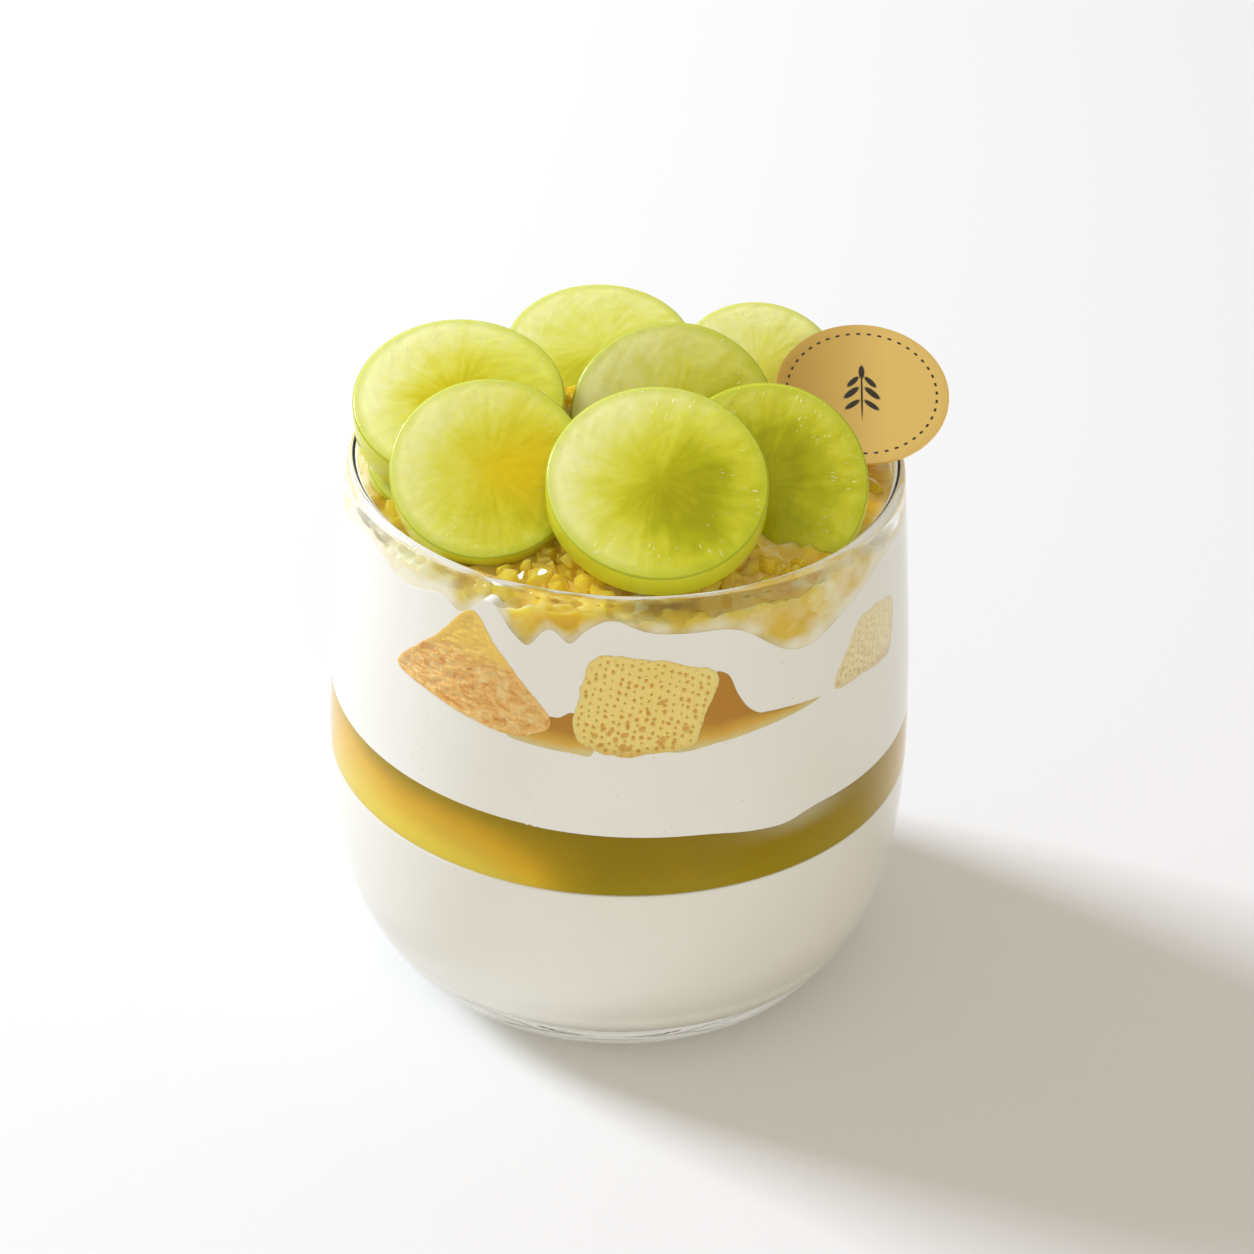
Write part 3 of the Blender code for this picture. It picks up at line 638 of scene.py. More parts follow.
crumb, crust = crumb_coat(), crust_coat()
for number, (name, points) in enumerate(SPONGE_OUTLINES.items()):
    baked = name.startswith("crust")
    outline = frayed(wall_outline(points), number, 0.1 if baked else 0.16)
    middle = outline.mean(0)
    low, high = outline[:, 1].min(), outline[:, 1].max()

    def border(s, z):
        """0 by the outline, where the piece lies on the glass and hides the cream's edge; 1 inside."""
        return ease((inside_by(outline, middle, s, z) - RECESS_START) / RECESS_WIDTH)

    if baked:
        def dents(s, z):
            """Wrinkles of the baked skin: chance values drawn out along the piece."""
            s, z = np.asarray(s, float), np.asarray(z, float)
            fold = 0.14 * wander(s * 1.1, z * 3.2, 0 * s, 5) + 0.06 * wander(s * 4, z * 6, 0 * s, 8)
            return (0.15 + fold) * border(s, z)
    else:
        cells = crumb_cells(outline, number + 11)

        def dents(s, z):
            """Cells of the crumb, up to 0.4 mm deep, faint ridges along their rows, and roughness."""
            s, z = np.asarray(s, float), np.asarray(z, float)
            ridge = 0.05 * np.sin((s - 0.16 * z) * 6.0)
            wavy = s + 0.06 * wander(s * 2.1, z * 2.1, 0 * s, 6)
            rough = 0.05 * wander(s * 3, z * 3, 0 * s, 4)
            return (0.1 + 0.42 * hollows(wavy, z, *cells) + ridge + rough) * border(s, z)
    mesh, spots = pressed_piece("sponge_" + name, outline, SPONGE_DEPTH, dents, INTO_WALL + 0.07)
    if baked:
        painted(mesh, "brown", ease((high - 4.4 - spots[:, 1]) / 3.0 + 0.2 * wander(
            spots[:, 0] * 0.7, spots[:, 1] * 0.7, 0 * spots[:, 0], 3)))
    else:
        # How deep each place lies in a cell, which the crumb's material paints darker as shade.
        painted(mesh, "cell", hollows(spots[:, 0], spots[:, 1], *cells))
        smeared = 0.4 if name == "crumb_right" else 0.0
        soaked = 0.55 * ease((low + 2.2 - spots[:, 1]) / 2.4)
        painted(mesh, "wetness", np.column_stack([0 * soaked + smeared, soaked, 0 * soaked]))
    coat, slot = (crust, "browned_sponge") if baked else (crumb, "sponge_crumb")
    placed(mesh, coat, slot, "sponge_" + name)

# The syrup beside the sponge
# Thin wine syrup that ran out of the jelly and soaked the edges of the sponge: amber, darkest where it
# is deep against the sponge, and paling where it thins out on the cream.


def syrup_coat():
    """Wine syrup on cake: glossy amber under the glass, cloudy each 4 mm. The attribute is 1 at its
    deepest."""
    coat, tree = new_coat("Wine syrup, soaked in")
    depth = add(tree, "Attribute", attribute_name="depth").outputs["Fac"]
    place = add(tree, "TexCoord").outputs["Object"]
    cloud = add(tree, "TexNoise", {"Vector": place, "Scale": 240.0, "Detail": 3.0})
    level = add(tree, "Math", {0: cloud, 1: 0.35, 2: depth}, operation="MULTIPLY_ADD")
    ramp = add(tree, "ValToRGB", {0: level}, stops=(
        (0.12, "F0DDA0"), (0.5, "E4B448"), (0.98, "C4882A")))
    surface = add(tree, "BsdfPrincipled", {
        "Base Color": ramp, "Roughness": 0.3, "IOR": 1.36, "Specular IOR Level": 0.3,
        "Subsurface Weight": 0.3, "Subsurface Radius": (1.0, 0.75, 0.35), "Subsurface Scale": 0.002})
    add(tree, "OutputMaterial", {"Surface": surface})
    return coat


SYRUP_LOWER_POINTS = {"syrup_left": 4, "syrup_front": 5, "syrup_back": 3}
SYRUP_FADE = 3.6
SYRUP_DEPTH = 8.0
SYRUP_RETREAT = 1.5


def behind_sponge(s, z):
    """The syrup goes back where it runs in behind a sponge, so that none fills the cells."""
    s, z = np.asarray(s, float), np.asarray(z, float)
    within = [inside_by(*PRESSED[name], s, z) for name in SPONGE_OUTLINES]
    return SYRUP_RETREAT * ease((np.max(within, 0) - 0.1) / 0.3)


syrup = syrup_coat()
for name, points in SYRUP_OUTLINES.items():
    outline = wall_outline(points)
    mesh, spots = pressed_piece(name + "_pool", outline, SYRUP_DEPTH, behind_sponge, INTO_WALL + 0.03)
    lower_edge = np.array(points[:SYRUP_LOWER_POINTS[name]])
    low = np.interp(spots[:, 0], np.radians(lower_edge[:, 0]) * WALL_RADIUS, lower_edge[:, 1])
    painted(mesh, "depth", np.clip((spots[:, 1] - low) / SYRUP_FADE, 0, 1))
    placed(mesh, syrup, "amber_syrup", name)

# The crushed jelly
# Clear golden jelly chopped into crumbs and heaped under the fruit. The heap is a lumpy core, with
# loose broken bits of 1 to 4 mm over its top.
CRUSH_EDGE = 66.7
CRUSH_MIDDLE = 74.4
LOOSE_BITS = 330
BIT_SIZES = (2.0, 4.8)
BITS_REACH = 30.0
SMEARS = ((-160.0, 22.0, 0.5), (-90.0, 26.0, -0.4), (-18.0, 20.0, 0.4), (60.0, 30.0, 0.3))
# Each slice: the middle of its upper face, its radius and thickness, the azimuth and elevation that the
# face looks to, and how far its outline strays from a circle, as a share of the radius.
GRAPE_SLICES = {
    "grape_slice_front": ((3.7, -20.9, 77.5), 13.1, 4.2, -90.0, 60.0, 0.02),
    "grape_slice_front_left": ((-16.3, -14.6, 75.1), 11.8, 3.8, -93.0, 55.0, 0.015),
    "grape_slice_front_right": ((16.2, -11.3, 72.0), 12.7, 4.0, -97.0, 44.0, 0.015),
    "grape_slice_middle": ((5.6, 1.4, 73.5), 12.6, 4.0, -88.0, 46.0, 0.01),
    "grape_slice_left": ((-20.6, 0.7, 76.0), 13.1, 4.6, -95.0, 70.0, 0.02),
    "grape_slice_left_under": ((-20.5, -0.6, 69.4), 11.2, 3.8, -95.0, 70.0, 0.01),
    "grape_slice_back": ((-3.8, 21.2, 72.5), 12.0, 3.6, -90.0, 73.0, 0.015),
    "grape_slice_back_right": ((16.0, 13.6, 74.5), 10.1, 3.6, -90.0, 62.0, 0.015),
}


def crush_height(x, y):
    """Highest in the middle and easing down to the wall, with lumps the size of the bits."""
    r, turn = np.hypot(x, y), np.arctan2(y, x)
    fall = ease(r / inner_radius(CRUSH_EDGE))
    slow = 0.45 * np.sin(7 * turn + r * 0.4) + 0.35 * np.sin(11 * turn + 2)
    lumps = slow * fall + 0.55 * wander(x * 0.55, y * 0.55, 0 * x, 21) + 0.3 * wander(x, y, 0 * x, 22)
    return CRUSH_MIDDLE + (CRUSH_EDGE - CRUSH_MIDDLE) * fall + lumps - 0.7


def slice_pose(values):
    """The turn and the middle of a slice, whose upper face looks to an azimuth and an elevation."""
    centre, _, thickness, azimuth, elevation, _ = values
    turn = np.array(Euler((0, np.radians(90 - elevation), np.radians(azimuth))).to_matrix())
    return turn, np.array(centre) - turn[:, 2] * thickness / 2


def inside_a_slice(points, margin):
    """Whether each point lies within any slice's cylinder, grown by a margin."""
    hit = np.zeros(len(points), bool)
    for values in GRAPE_SLICES.values():
        turn, middle = slice_pose(values)
        own = (points - middle) @ turn
        hit |= (np.hypot(own[:, 0], own[:, 1]) < values[1] + margin) & (
            np.abs(own[:, 2]) < values[2] / 2 + margin)
    return hit


def broken_bits(name, spots, sizes, seed):
    """A bit at each spot: the corners of a cube and of its faces' middles, each pushed out by its own
    chance amount, turned at random and scaled unevenly, so that every bit is an angular lump."""
    draw = np.random.default_rng(seed)
    cube = np.array([(x, y, z) for x in (-1, 1) for y in (-1, 1) for z in (-1, 1)], float) * 0.62
    caps = np.concatenate([np.eye(3), -np.eye(3)])
    shape = np.concatenate([cube, caps])
    faces = []
    for cap in range(6):
        axis, sign = cap % 3, (1 if cap < 3 else -1)
        ring = [i for i in range(8) if np.sign(cube[i, axis]) == sign]
        other = [a for a in range(3) if a != axis]
        ring.sort(key=lambda i: np.arctan2(cube[i, other[1]], cube[i, other[0]]))
        for a, b in zip(ring, ring[1:] + ring[:1]):
            out = np.cross(shape[a] - shape[8 + cap], shape[b] - shape[8 + cap]) @ caps[cap]
            faces.append((8 + cap, a, b) if out > 0 else (8 + cap, b, a))
    faces = np.array(faces)
    count = len(spots)
    local = shape[None] * draw.uniform(0.7, 1.15, (count, len(shape), 1))
    local *= draw.uniform(0.55, 1.0, (count, 1, 3))
    spin = np.linalg.qr(draw.normal(size=(count, 3, 3)))[0]
    spin *= np.sign(np.linalg.det(spin))[:, None, None]
    points = np.einsum("nij,nkj->nki", spin, local) * sizes[:, None, None] / 2 + spots[:, None]
    corners = (faces[None] + (np.arange(count) * len(shape))[:, None, None]).reshape(-1, 3)
    mesh = filled_mesh(name, points.reshape(-1, 3) * MM, np.zeros((0, 4), int), corners)
    mesh.set_sharp_from_angle(angle=np.radians(25))
    return mesh


def crushed_core_coat():
    """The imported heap: every bit has its own tone, from deep gold to nearly clear, and its own tilt, so
    that it shines like broken glass. Bits are 2.5 mm across with crumbs of 1.1 mm, and their tone drifts
    each 8 mm. Cream smeared between the bits makes paler patches."""
    coat, tree = new_coat("Crushed jelly, packed")
    place = add(tree, "TexCoord").outputs["Object"]
    cells = add(tree, "TexVoronoi", {"Vector": place, "Scale": 400.0, "Randomness": 1.0})
    small = add(tree, "TexVoronoi", {"Vector": place, "Scale": 900.0, "Randomness": 1.0})
    cloud = add(tree, "TexNoise", {"Vector": place, "Scale": 120.0, "Detail": 3.0, "Distortion": 0.5})
    tone = add(tree, "Math", {0: cells.outputs["Color"], 1: 0.16, 2: 0.12}, operation="MULTIPLY_ADD")
    tone = add(tree, "Math", {0: small.outputs["Color"], 1: 0.12, 2: tone}, operation="MULTIPLY_ADD")
    level = add(tree, "Math", {0: cloud, 1: 0.6, 2: tone}, operation="MULTIPLY_ADD")
    ramp = add(tree, "ValToRGB", {0: level}, stops=(
        (0.4, "E0B834"), (0.5, "ECC644"), (0.61, "EECC60"), (0.68, "F4DC8E"), (0.78, "FAEEC4")))
    smear = add(tree, "Attribute", attribute_name="smear").outputs["Fac"]
    tone = add(tree, "Mix", {0: smear, 6: ramp, 7: "F8F1DC"}, data_type="RGBA")
    tilt = add(tree, "VectorMath", {0: cells.outputs["Color"], 1: (0.5, 0.5, 0.5)}, operation="SUBTRACT")
    facet = add(tree, "VectorMath", {0: tilt, 1: place}, operation="DOT_PRODUCT")
    bare = add(tree, "Math", {0: smear, 1: -1.3, 2: 0.9}, operation="MULTIPLY_ADD", use_clamp=True)
    relief = add(tree, "Bump", {"Strength": bare, "Distance": 0.6, "Height": facet.outputs["Value"]})
    clear = add(tree, "Math", {0: smear, 1: -0.9, 2: 0.8}, operation="MULTIPLY_ADD", use_clamp=True)
    surface = add(tree, "BsdfPrincipled", {
        "Base Color": tone, "Roughness": 0.1, "IOR": 1.36, "Specular IOR Level": 0.3,
        "Subsurface Weight": clear, "Subsurface Radius": (1.0, 0.8, 0.35),
        "Subsurface Scale": 0.004, "Normal": relief})
    add(tree, "OutputMaterial", {"Surface": surface})
    return coat


def bit_coat():
    """One broken bit of the jelly: clear, wet and thin, so a light tint is all that it gives."""
    coat, tree = new_coat("Jelly bits, broken")
    surface = add(tree, "BsdfPrincipled", {
        "Base Color": "FFD444", "Roughness": 0.05, "IOR": 1.36, "Transmission Weight": 0.35,
        "Subsurface Weight": 0.9, "Subsurface Radius": (1.0, 0.85, 0.4), "Subsurface Scale": 0.004})
    shown = let_lamps_through(tree, surface, "FBF2D0")
    add(tree, "OutputMaterial", {"Surface": shown})
    return coat


core_rings = layer_rings(lambda x, y: upper_cream_height(x, y) - 0.5, crush_height, 0.05, 30, 60)
core = closed_mesh("jelly_heap", core_rings, (0, 0, crush_height(0.0, 0.0)), (0, 0, UPPER_MIDDLE - 0.5))
x, y, z = np.moveaxis(core_rings, 2, 0)
near_wall = ease((np.hypot(x, y) / inner_radius(z) - 0.93) / 0.05)
low_down = ease((2.4 - (z - upper_cream_height(x, y))) / 2.4)
smear = 0.1 + 0.7 * low_down + 0.5 * wander(x * 0.45, y * 0.45, z * 0.6, 33)
smear = np.clip(smear + swell(azimuth_of(x, y), SMEARS), 0, 0.92) * near_wall
painted(core, "smear", np.append(smear.ravel(), [0, 0]))
core.set_sharp_from_angle(angle=np.radians(LAYER_EDGE))
placed(core, crushed_core_coat(), "crushed_jelly", "crushed_jelly")
draw = np.random.default_rng(31)
radius = BITS_REACH * np.sqrt(draw.uniform(0, 1, LOOSE_BITS * 3))
turn = draw.uniform(0, 2 * np.pi, len(radius))
x, y = radius * np.cos(turn), radius * np.sin(turn)
spots = np.stack([x, y, crush_height(x, y) + draw.uniform(0.0, 0.9, len(x))], 1)
spots = spots[~inside_a_slice(spots, 0.9)][:LOOSE_BITS]
bits = bit_coat()
sizes = draw.uniform(*BIT_SIZES, len(spots))
placed(broken_bits("jelly_bits_loose", spots, sizes, 5), bits, "crushed_jelly")

# The grape slices
# Thick slices of large, seedless green muscat grapes, skin on. The flesh is clear and juicy, with pale
# fibres running out from the core and a thin green skin round the edge; juice makes it glisten.
# Each slice's deep spot: how far down and right of the middle, its spread and its strength. Then how much
# painted shade deepens the tone down and to the right, away from the window's light, its level, which is
# partly the flesh's tone and partly painted light that brightens slices lying in shade, and how golden the
# spot is.
GRAPE_TONES = {
    "grape_slice_front": (0.14, 0.16, 0.42, 0.46, 0.38, 0.4, 0.15),
    "grape_slice_front_left": (0.0, 0.35, 0.5, 0.2, 0.3, 0.4, 0.75),
    "grape_slice_front_right": (0.0, -0.12, 0.6, 0.36, 0.12, 0.55, 0.1),
    "grape_slice_middle": (0.5, 0.2, 0.5, 0.3, 0.3, 0.36, 0.35),
    "grape_slice_left": (0.05, 0.0, 0.4, 0.42, 0.4, 0.32, 0.5),
    "grape_slice_left_under": (0.0, 0.0, 0.4, 0.1, 0.1, 0.4, 0.0),
    "grape_slice_back": (0.5, -0.2, 0.4, 0.4, 0.15, 0.28, 0.1),
    "grape_slice_back_right": (0.3, 0.1, 0.5, 0.2, 0.1, 0.17, 0.2),
}
SKIN_ROUNDING = 0.4
SLICE_STEPS = 200


def slice_mesh(name, values, number, tones):
    """A slice in its own frame: rings from the middle of its upper face out to the skin, round the
    skin's softened edges, and in again below. The outline strays from a circle by two slow waves. The
    cut face is crowned by a fraction of a millimetre and ribbed by fibres that run outwards."""
    _, radius, thickness, _, _, uneven = values
    turn = np.linspace(0, 2 * np.pi, SLICE_STEPS, endpoint=False)
    wave = np.sin(2 * turn + number * 1.7) + 0.6 * np.sin(3 * turn + number * 2.3)
    outline = radius * (1 - uneven / 2 + uneven * wave / 3.2)
    half = thickness / 2
    bend = SKIN_ROUNDING / radius
    share = np.linspace(0.02, 1 - bend, 50)[:, None]
    fibre = wander(turn * 14, share * 2.5, 0 * share * turn, number + 1)
    fleck = wander(turn * 5 * (1 + share), share * 9, 0 * share * turn, number + 40)
    crown = 0.2 * (1 - share ** 2) - 0.06 * np.exp(-(share / 0.05) ** 2)
    lift = (crown + 0.05 * fibre * share + 0.05 * fleck * share) * ease((1 - bend - share) / 0.06)
    top = np.stack([share * np.cos(turn) * outline, share * np.sin(turn) * outline, half + lift], 2)
    corner = np.radians(np.linspace(90, 0, 7))[1:, None]
    edge = 1 - bend + bend * np.cos(corner)
    upper_edge = np.stack([edge * np.cos(turn) * outline, edge * np.sin(turn) * outline,
                           half - SKIN_ROUNDING * (1 - np.sin(corner)) + 0 * turn], 2)
    lower_edge = upper_edge[::-1] * [1, 1, -1]
    bottom = top[::-1][::3] * [1, 1, -1]
    rings = np.concatenate([top, upper_edge, lower_edge, bottom])
    first = np.array([0, 0, half + 0.14])
    own = np.concatenate([rings.reshape(-1, 3), [first, -first]])
    turning, middle = slice_pose(values)
    mesh = closed_mesh(name, rings @ turning.T + middle, turning @ first + middle,
                       middle - turning @ first)
    out = np.concatenate([outline] * len(rings) + [[radius, radius]])
    disc = np.stack([own[:, 0] / out, own[:, 1] / out, own[:, 2] / thickness], 1)
    painted(mesh, "disc", disc + [number * 7.0, 0, 0])
    r = np.hypot(disc[:, 0], disc[:, 1])
    painted(mesh, "rim", r)
    down, right, spread, strength, shade_lean, level, warmth = tones
    near = np.hypot(disc[:, 0] - down, disc[:, 1] - right) / spread
    ragged = near * (1 + 0.25 * wander(disc[:, 0] * 4, disc[:, 1] * 4, 0 * r, number + 60))
    blob = strength * np.exp(-ragged ** 2 * 0.7) * ease((1.0 - r) / 0.25)
    painted(mesh, "warm", warmth * np.exp(-ragged ** 2 * 0.9) * ease((1.0 - r) / 0.25))
    ring = 0.15 * ease((r - 0.45) / 0.5) - 0.06
    # Painted shade: the lean deepens the tone down and to the right, away from the window's light; the blob
    # is the real deep core.
    painted(mesh, "deep_and_shaded", level + shade_lean * (0.4 * disc[:, 0] + 0.8 * disc[:, 1]) + blob - ring)
    painted(mesh, "side", ease((half - 0.1 - np.abs(own[:, 2])) / 0.3) * (r > 0.985 - uneven * 2))
    ray = np.stack([disc[:, 0], disc[:, 1]], 1) / np.maximum(r, 0.02)[:, None]
    painted(mesh, "fibre", np.column_stack([ray * 6.0, 2.2 * r + number * 5.0]))
    return mesh


def grape_coat():
    """Grape flesh: clear, wet, pale green outwards and deep yellow-green at the core, with fibres and
    fine pale flecks, and greener where the skin shines through. The flecks are partly the flesh's cells and
    partly painted glints of the wet cut. The cut's wet grain is 0.8 mm, coarser than the real one so that it
    shows. The attributes give a place its share of the radius, how deep its tone is, with painted shade
    away from the light, its place on the slice as shares of the radius, and where it lies along the fibres."""
    coat, tree = new_coat("Muscat grape, cut")
    disc = add(tree, "Attribute", attribute_name="disc").outputs["Vector"]
    rim = add(tree, "Attribute", attribute_name="rim").outputs["Fac"]
    deep_and_shaded = add(tree, "Attribute", attribute_name="deep_and_shaded").outputs["Fac"]
    along = add(tree, "Attribute", attribute_name="fibre").outputs["Vector"]
    place = add(tree, "TexCoord").outputs["Object"]
    cloud = add(tree, "TexNoise", {"Vector": disc, "Scale": 5.0, "Detail": 5.0, "Roughness": 0.65})
    fibres = add(tree, "TexNoise", {"Vector": along, "Scale": 1.0, "Detail": 3.0, "Roughness": 0.55})
    blot = add(tree, "Math", {0: cloud, 1: 0.4, 2: deep_and_shaded}, operation="MULTIPLY_ADD")
    blot = add(tree, "Math", {0: fibres, 1: 0.34, 2: blot}, operation="MULTIPLY_ADD")
    blot = add(tree, "Math", {0: blot, 1: 0.36}, operation="SUBTRACT")
    ramp = add(tree, "ValToRGB", {0: blot}, stops=(
        (0.0, "F4F4B4"), (0.2, "ECEC94"), (0.4, "E3E362"),
        (0.6, "D5D432"), (0.8, "BABC10"), (1.0, "A2A402")))
    # Pale flecks, partly cells of the flesh and partly painted glints where the wet cut would sparkle.
    fleck = add(tree, "TexVoronoi", {"Vector": along, "Scale": 4.0, "Randomness": 1.0})
    patch = add(tree, "MapRange", {0: cloud, 1: 0.4, 2: 0.62, 3: 0.08, 4: 0.27})
    spark = add(tree, "Math", {0: patch, 1: fleck.outputs["Distance"]}, operation="SUBTRACT")
    spark = add(tree, "Math", {0: spark, 1: 8.0}, operation="MULTIPLY", use_clamp=True)
    outer = add(tree, "MapRange", {0: rim, 1: 0.45, 2: 0.85})
    speck_and_glint = add(tree, "Math", {0: spark, 1: outer}, operation="MULTIPLY")
    warm = add(tree, "Attribute", attribute_name="warm").outputs["Fac"]
    flesh = add(tree, "Mix", {0: warm, 6: ramp, 7: "ECCB08"}, data_type="RGBA")
    pale = add(tree, "Mix", {0: speck_and_glint, 6: flesh, 7: "F3F4B8"}, data_type="RGBA")
    side = add(tree, "Attribute", attribute_name="side").outputs["Fac"]
    through = add(tree, "MapRange", {0: rim, 1: 0.88, 2: 0.99, 3: 0.0, 4: 0.7})
    tone = add(tree, "Mix", {0: through, 6: pale, 7: "BCC632"}, data_type="RGBA")
    skin = add(tree, "MapRange", {0: rim, 1: 0.978, 2: 0.994})
    tone = add(tree, "Mix", {0: skin, 6: tone, 7: "9CA616"}, data_type="RGBA")
    tone = add(tree, "Mix", {0: side, 6: tone, 7: "CFCF30"}, data_type="RGBA")
    fine = add(tree, "TexNoise", {"Vector": place, "Scale": 1200.0, "Detail": 3.0})
    relief = add(tree, "Bump", {"Strength": 0.35, "Distance": 0.00012, "Height": fine})
    drops = add(tree, "Bump", {"Strength": 0.5, "Distance": 0.0002, "Height": speck_and_glint, "Normal": relief})
    surface = add(tree, "BsdfPrincipled", {
        "Base Color": tone, "Roughness": 0.2, "IOR": 1.36, "Specular IOR Level": 0.35,
        "Subsurface Weight": 1.0, "Subsurface Radius": (1.0, 0.95, 0.3), "Subsurface Scale": 0.0014,
        "Coat Weight": 0.15, "Coat Roughness": 0.06, "Normal": drops})
    add(tree, "OutputMaterial", {"Surface": surface})
    return coat


grape = grape_coat()
for number, (name, values) in enumerate(GRAPE_SLICES.items()):
    mesh = slice_mesh(name.replace("grape_slice", "grape"), values, number, GRAPE_TONES[name])
    placed(mesh, grape, "grape_flesh", name)

# The gilt card
# A disc of stiff card faced with satin gold foil, die-cut and lying on the rim and the fruit. Its face
# is blank but for a ring of fine dashes near the edge and a small plain sprig.
# Given as the grape slices are: the middle of its face, its radius and thickness, and where it looks to
CARD = ((28.7, 7.8, 74.4), 10.75, 0.5, -90.0, 66.0, 0.0)
DASHES = 44.0
RING_SHARE = 0.86
# Each mark of the sprig: how far down and across its middle lies, its turn, and its half length and width
SPRIG = (
    (0.02, 0.0, 0.0, 0.36, 0.012),
    (-0.3, 0.0, 0.0, 0.1, 0.035),
    (-0.16, 0.1, 40.0, 0.1, 0.035),
    (-0.16, -0.1, -40.0, 0.1, 0.035),
    (0.0, 0.12, 45.0, 0.12, 0.04),
    (0.0, -0.12, -45.0, 0.12, 0.04),
    (0.17, 0.11, 50.0, 0.11, 0.035),
    (0.17, -0.11, -50.0, 0.11, 0.035),
)


def card_coat():
    """Hot-stamped gold foil on card: a warm metal, satin and partly dull, with the card's grain showing
    through, and painted shade that deepens its tone at the left. The grain is 46 to the radius, or 0.23 mm.
    The ring of dashes and the sprig are dark ink."""
    coat, tree = new_coat("Gold foil on card")
    disc = add(tree, "Attribute", attribute_name="disc").outputs["Vector"]
    rim = add(tree, "Attribute", attribute_name="rim").outputs["Fac"]
    grain = add(tree, "TexNoise", {"Vector": disc, "Scale": 46.0, "Detail": 5.0, "Roughness": 0.65})
    foil = add(tree, "Mix", {0: grain, 6: "FFDD88", 7: "F4CC6C"}, data_type="RGBA")
    flat = add(tree, "SeparateXYZ", {0: disc})
    # Painted shade: the foil is darkened towards the left.
    shade = add(tree, "MapRange", {0: flat.outputs[1], 1: -0.9, 2: 0.3, 3: 0.8, 4: 0.0})
    foil = add(tree, "Mix", {0: shade, 6: foil, 7: "B88C34"}, data_type="RGBA")
    turn = add(tree, "Math", {0: flat.outputs[1], 1: flat.outputs[0]}, operation="ARCTAN2")
    beads = add(tree, "Math", {0: turn, 1: DASHES}, operation="MULTIPLY")
    beads = add(tree, "Math", {0: beads}, operation="SINE")
    beads = add(tree, "MapRange", {0: beads, 1: 0.1, 2: 0.5})
    off_line = add(tree, "Math", {0: rim, 1: RING_SHARE}, operation="SUBTRACT")
    off_line = add(tree, "Math", {0: off_line}, operation="ABSOLUTE")
    line = add(tree, "MapRange", {0: off_line, 1: 0.018, 2: 0.01})
    ink = add(tree, "Math", {0: line, 1: beads}, operation="MULTIPLY")
    for down, across, turned_by, long, wide in SPRIG:
        away = add(tree, "VectorMath", {0: disc, 1: (-down, -across, -0.5)}, operation="ADD")
        c, d = np.cos(np.radians(turned_by)), np.sin(np.radians(turned_by))
        lengthwise = add(tree, "VectorMath", {0: away, 1: (c / long, d / long, 0.0)},
                         operation="DOT_PRODUCT")
        sideways = add(tree, "VectorMath", {0: away, 1: (-d / wide, c / wide, 0.0)},
                       operation="DOT_PRODUCT")
        both = add(tree, "CombineXYZ", {0: lengthwise.outputs["Value"], 1: sideways.outputs["Value"]})
        off = add(tree, "VectorMath", {0: both}, operation="LENGTH")
        mark = add(tree, "MapRange", {0: off.outputs["Value"], 1: 1.15, 2: 0.85})
        ink = add(tree, "Math", {0: ink, 1: mark}, operation="MAXIMUM")
    tone = add(tree, "Mix", {0: ink, 6: foil, 7: "2B2419"}, data_type="RGBA")
    metal = add(tree, "Math", {0: ink, 1: -0.62, 2: 0.62}, operation="MULTIPLY_ADD")
    relief = add(tree, "Bump", {"Strength": 0.25, "Distance": 0.0001, "Height": grain})
    surface = add(tree, "BsdfPrincipled", {
        "Base Color": tone, "Metallic": metal, "Roughness": 0.38, "Normal": relief})
    add(tree, "OutputMaterial", {"Surface": surface})
    return coat


def card_mesh():
    """A flat disc: rings out over its face, over a softened edge, and in again over its back."""
    centre, radius, thickness = CARD[:3]
    turn = np.linspace(0, 2 * np.pi, 180, endpoint=False)
    share = np.array([0.25, 0.5, 0.75, 0.9, 0.985, 1.0, 1.0, 0.985, 0.75, 0.4])[:, None]
    height = np.array([1, 1, 1, 1, 1, 0.8, -0.8, -1, -1, -1])[:, None] * thickness / 2
    rings = np.stack([share * radius * np.cos(turn), share * radius * np.sin(turn), height + 0 * turn], 2)
    first = np.array([0, 0, thickness / 2])
    turning, middle = slice_pose(CARD)
    mesh = closed_mesh("card_gilt", rings @ turning.T + middle, turning @ first + middle,
                       middle - turning @ first)
    own = np.concatenate([rings.reshape(-1, 3), [first, -first]])
    disc = np.stack([own[:, 0] / radius, own[:, 1] / radius, own[:, 2] / thickness], 1)
    painted(mesh, "disc", disc)
    painted(mesh, "rim", np.hypot(disc[:, 0], disc[:, 1]))
    mesh.set_sharp_from_angle(angle=np.radians(40))
    return mesh


placed(card_mesh(), card_coat(), "gilt_card", "gilt_card")

# The table, the light and the camera
# A pale matt board whose tone drifts over a third of a metre, a soft window-like lamp high at the back
# left, a dim white card in front, and warm light from all round.
TABLE_HALF_METRES = 2.5
LAMP_AIM_METRES = 0.03
EYE_DISTANCE_METRES = 0.45
EYE_ELEVATION = 32.8
EYE_ROLL = 1.7
EYE_TARGET_METRES = 0.038
EYE_LENS_MM = 101.95
EYE_SENSOR_MM = 36.0
EYE_SHIFT_PIXELS = (6.8, 42.0)
PHOTO_PIXELS = 1254
ROOM_COLOUR = (1.0, 0.93, 0.82, 1.0)
ROOM_STRENGTH = 0.565

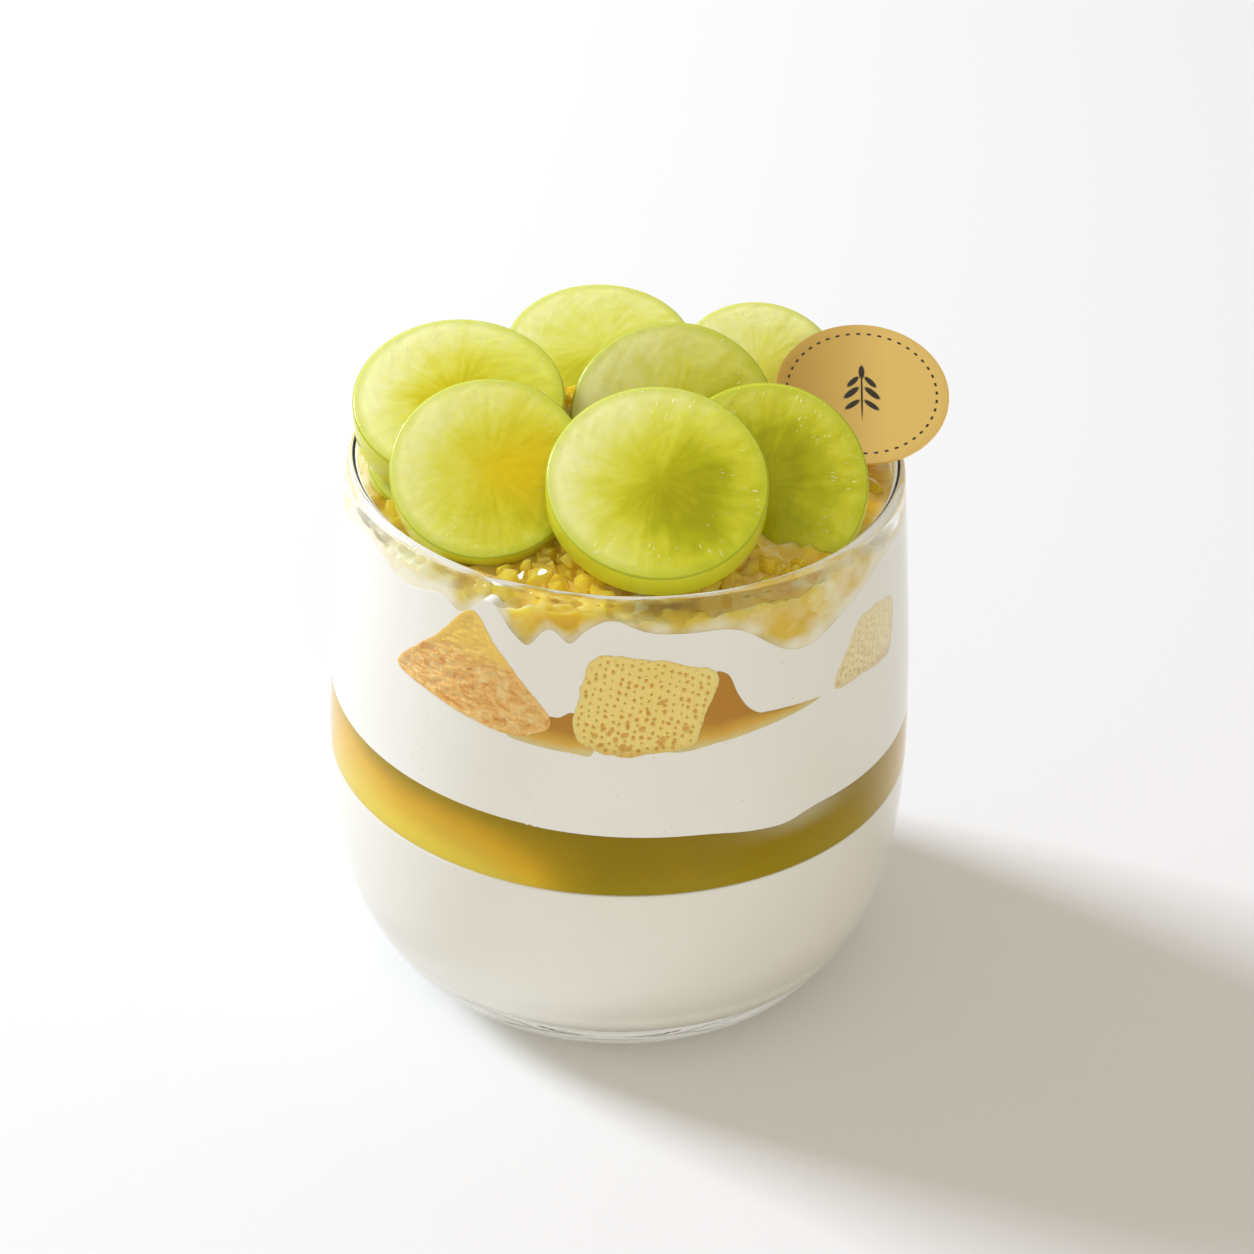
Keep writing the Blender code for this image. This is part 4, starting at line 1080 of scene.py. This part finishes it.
corners = np.array([(-1, -1, 0), (1, -1, 0), (1, 1, 0), (-1, 1, 0)], float) * TABLE_HALF_METRES
table_mesh = filled_mesh("table", corners, np.array([[0, 1, 2, 3]]), np.zeros((0, 3), int))
board, board_tree = new_coat("White board, matt")
grain = add(board_tree, "TexNoise", {"Vector": add(board_tree, "TexCoord").outputs["Object"],
                                     "Scale": 3.0, "Detail": 2.0})
white = add(board_tree, "Mix", {0: grain, 6: "F2F1F0", 7: "EFEEED"}, data_type="RGBA")
face = add(board_tree, "BsdfPrincipled", {
    "Base Color": white, "Roughness": 0.9, "Specular IOR Level": 0.1})
add(board_tree, "OutputMaterial", {"Surface": face})
table = bpy.data.objects.new("table", table_mesh)
table_mesh.materials.append(board)
bpy.context.scene.collection.objects.link(table)


def light(name, azimuth, elevation, distance, size, watts, colour):
    """A square lamp that looks at the glass from a direction, at a distance and of a size in metres."""
    turn, rise = np.radians(azimuth), np.radians(elevation)
    toward = Vector((np.cos(rise) * np.cos(turn), np.cos(rise) * np.sin(turn), np.sin(rise)))
    lamp = bpy.data.objects.new(name, bpy.data.lights.new(name, "AREA"))
    lamp.data.size, lamp.data.energy, lamp.data.color = size, watts, colour
    lamp.location = Vector((0, 0, LAMP_AIM_METRES)) + toward * distance
    lamp.rotation_euler = toward.to_track_quat("Z", "Y").to_euler()
    bpy.context.scene.collection.objects.link(lamp)


light("window", 153.0, 38.0, 1.3, 0.3, 16.6, (0.79, 0.86, 1.0))
light("white_card", -78.0, 14.0, 1.2, 1.1, 2.8, (1.0, 0.93, 0.8))

world = bpy.data.worlds.new("studio")
world.use_nodes = True
bpy.context.scene.world = world
sky = world.node_tree.nodes["Background"]
sky.inputs["Color"].default_value = ROOM_COLOUR
sky.inputs["Strength"].default_value = ROOM_STRENGTH
bpy.context.scene.view_settings.view_transform = "Standard"

rise = np.radians(EYE_ELEVATION)
roll = np.radians(EYE_ROLL)
forward = Vector((0, np.cos(rise), -np.sin(rise)))
level, upright = Vector((1, 0, 0)), Vector((0, np.sin(rise), np.cos(rise)))
right = level * np.cos(roll) + upright * np.sin(roll)
up = upright * np.cos(roll) - level * np.sin(roll)
camera = bpy.data.objects.new("camera", bpy.data.cameras.new("camera"))
camera.data.sensor_width = EYE_SENSOR_MM
camera.data.lens = EYE_LENS_MM
camera.data.shift_x = EYE_SHIFT_PIXELS[0] / PHOTO_PIXELS
camera.data.shift_y = EYE_SHIFT_PIXELS[1] / PHOTO_PIXELS
pose = Matrix((right, up, -forward)).transposed().to_4x4()
pose.translation = Vector((0, 0, EYE_TARGET_METRES)) - forward * EYE_DISTANCE_METRES
camera.matrix_world = pose
bpy.context.scene.collection.objects.link(camera)
bpy.context.scene.camera = camera
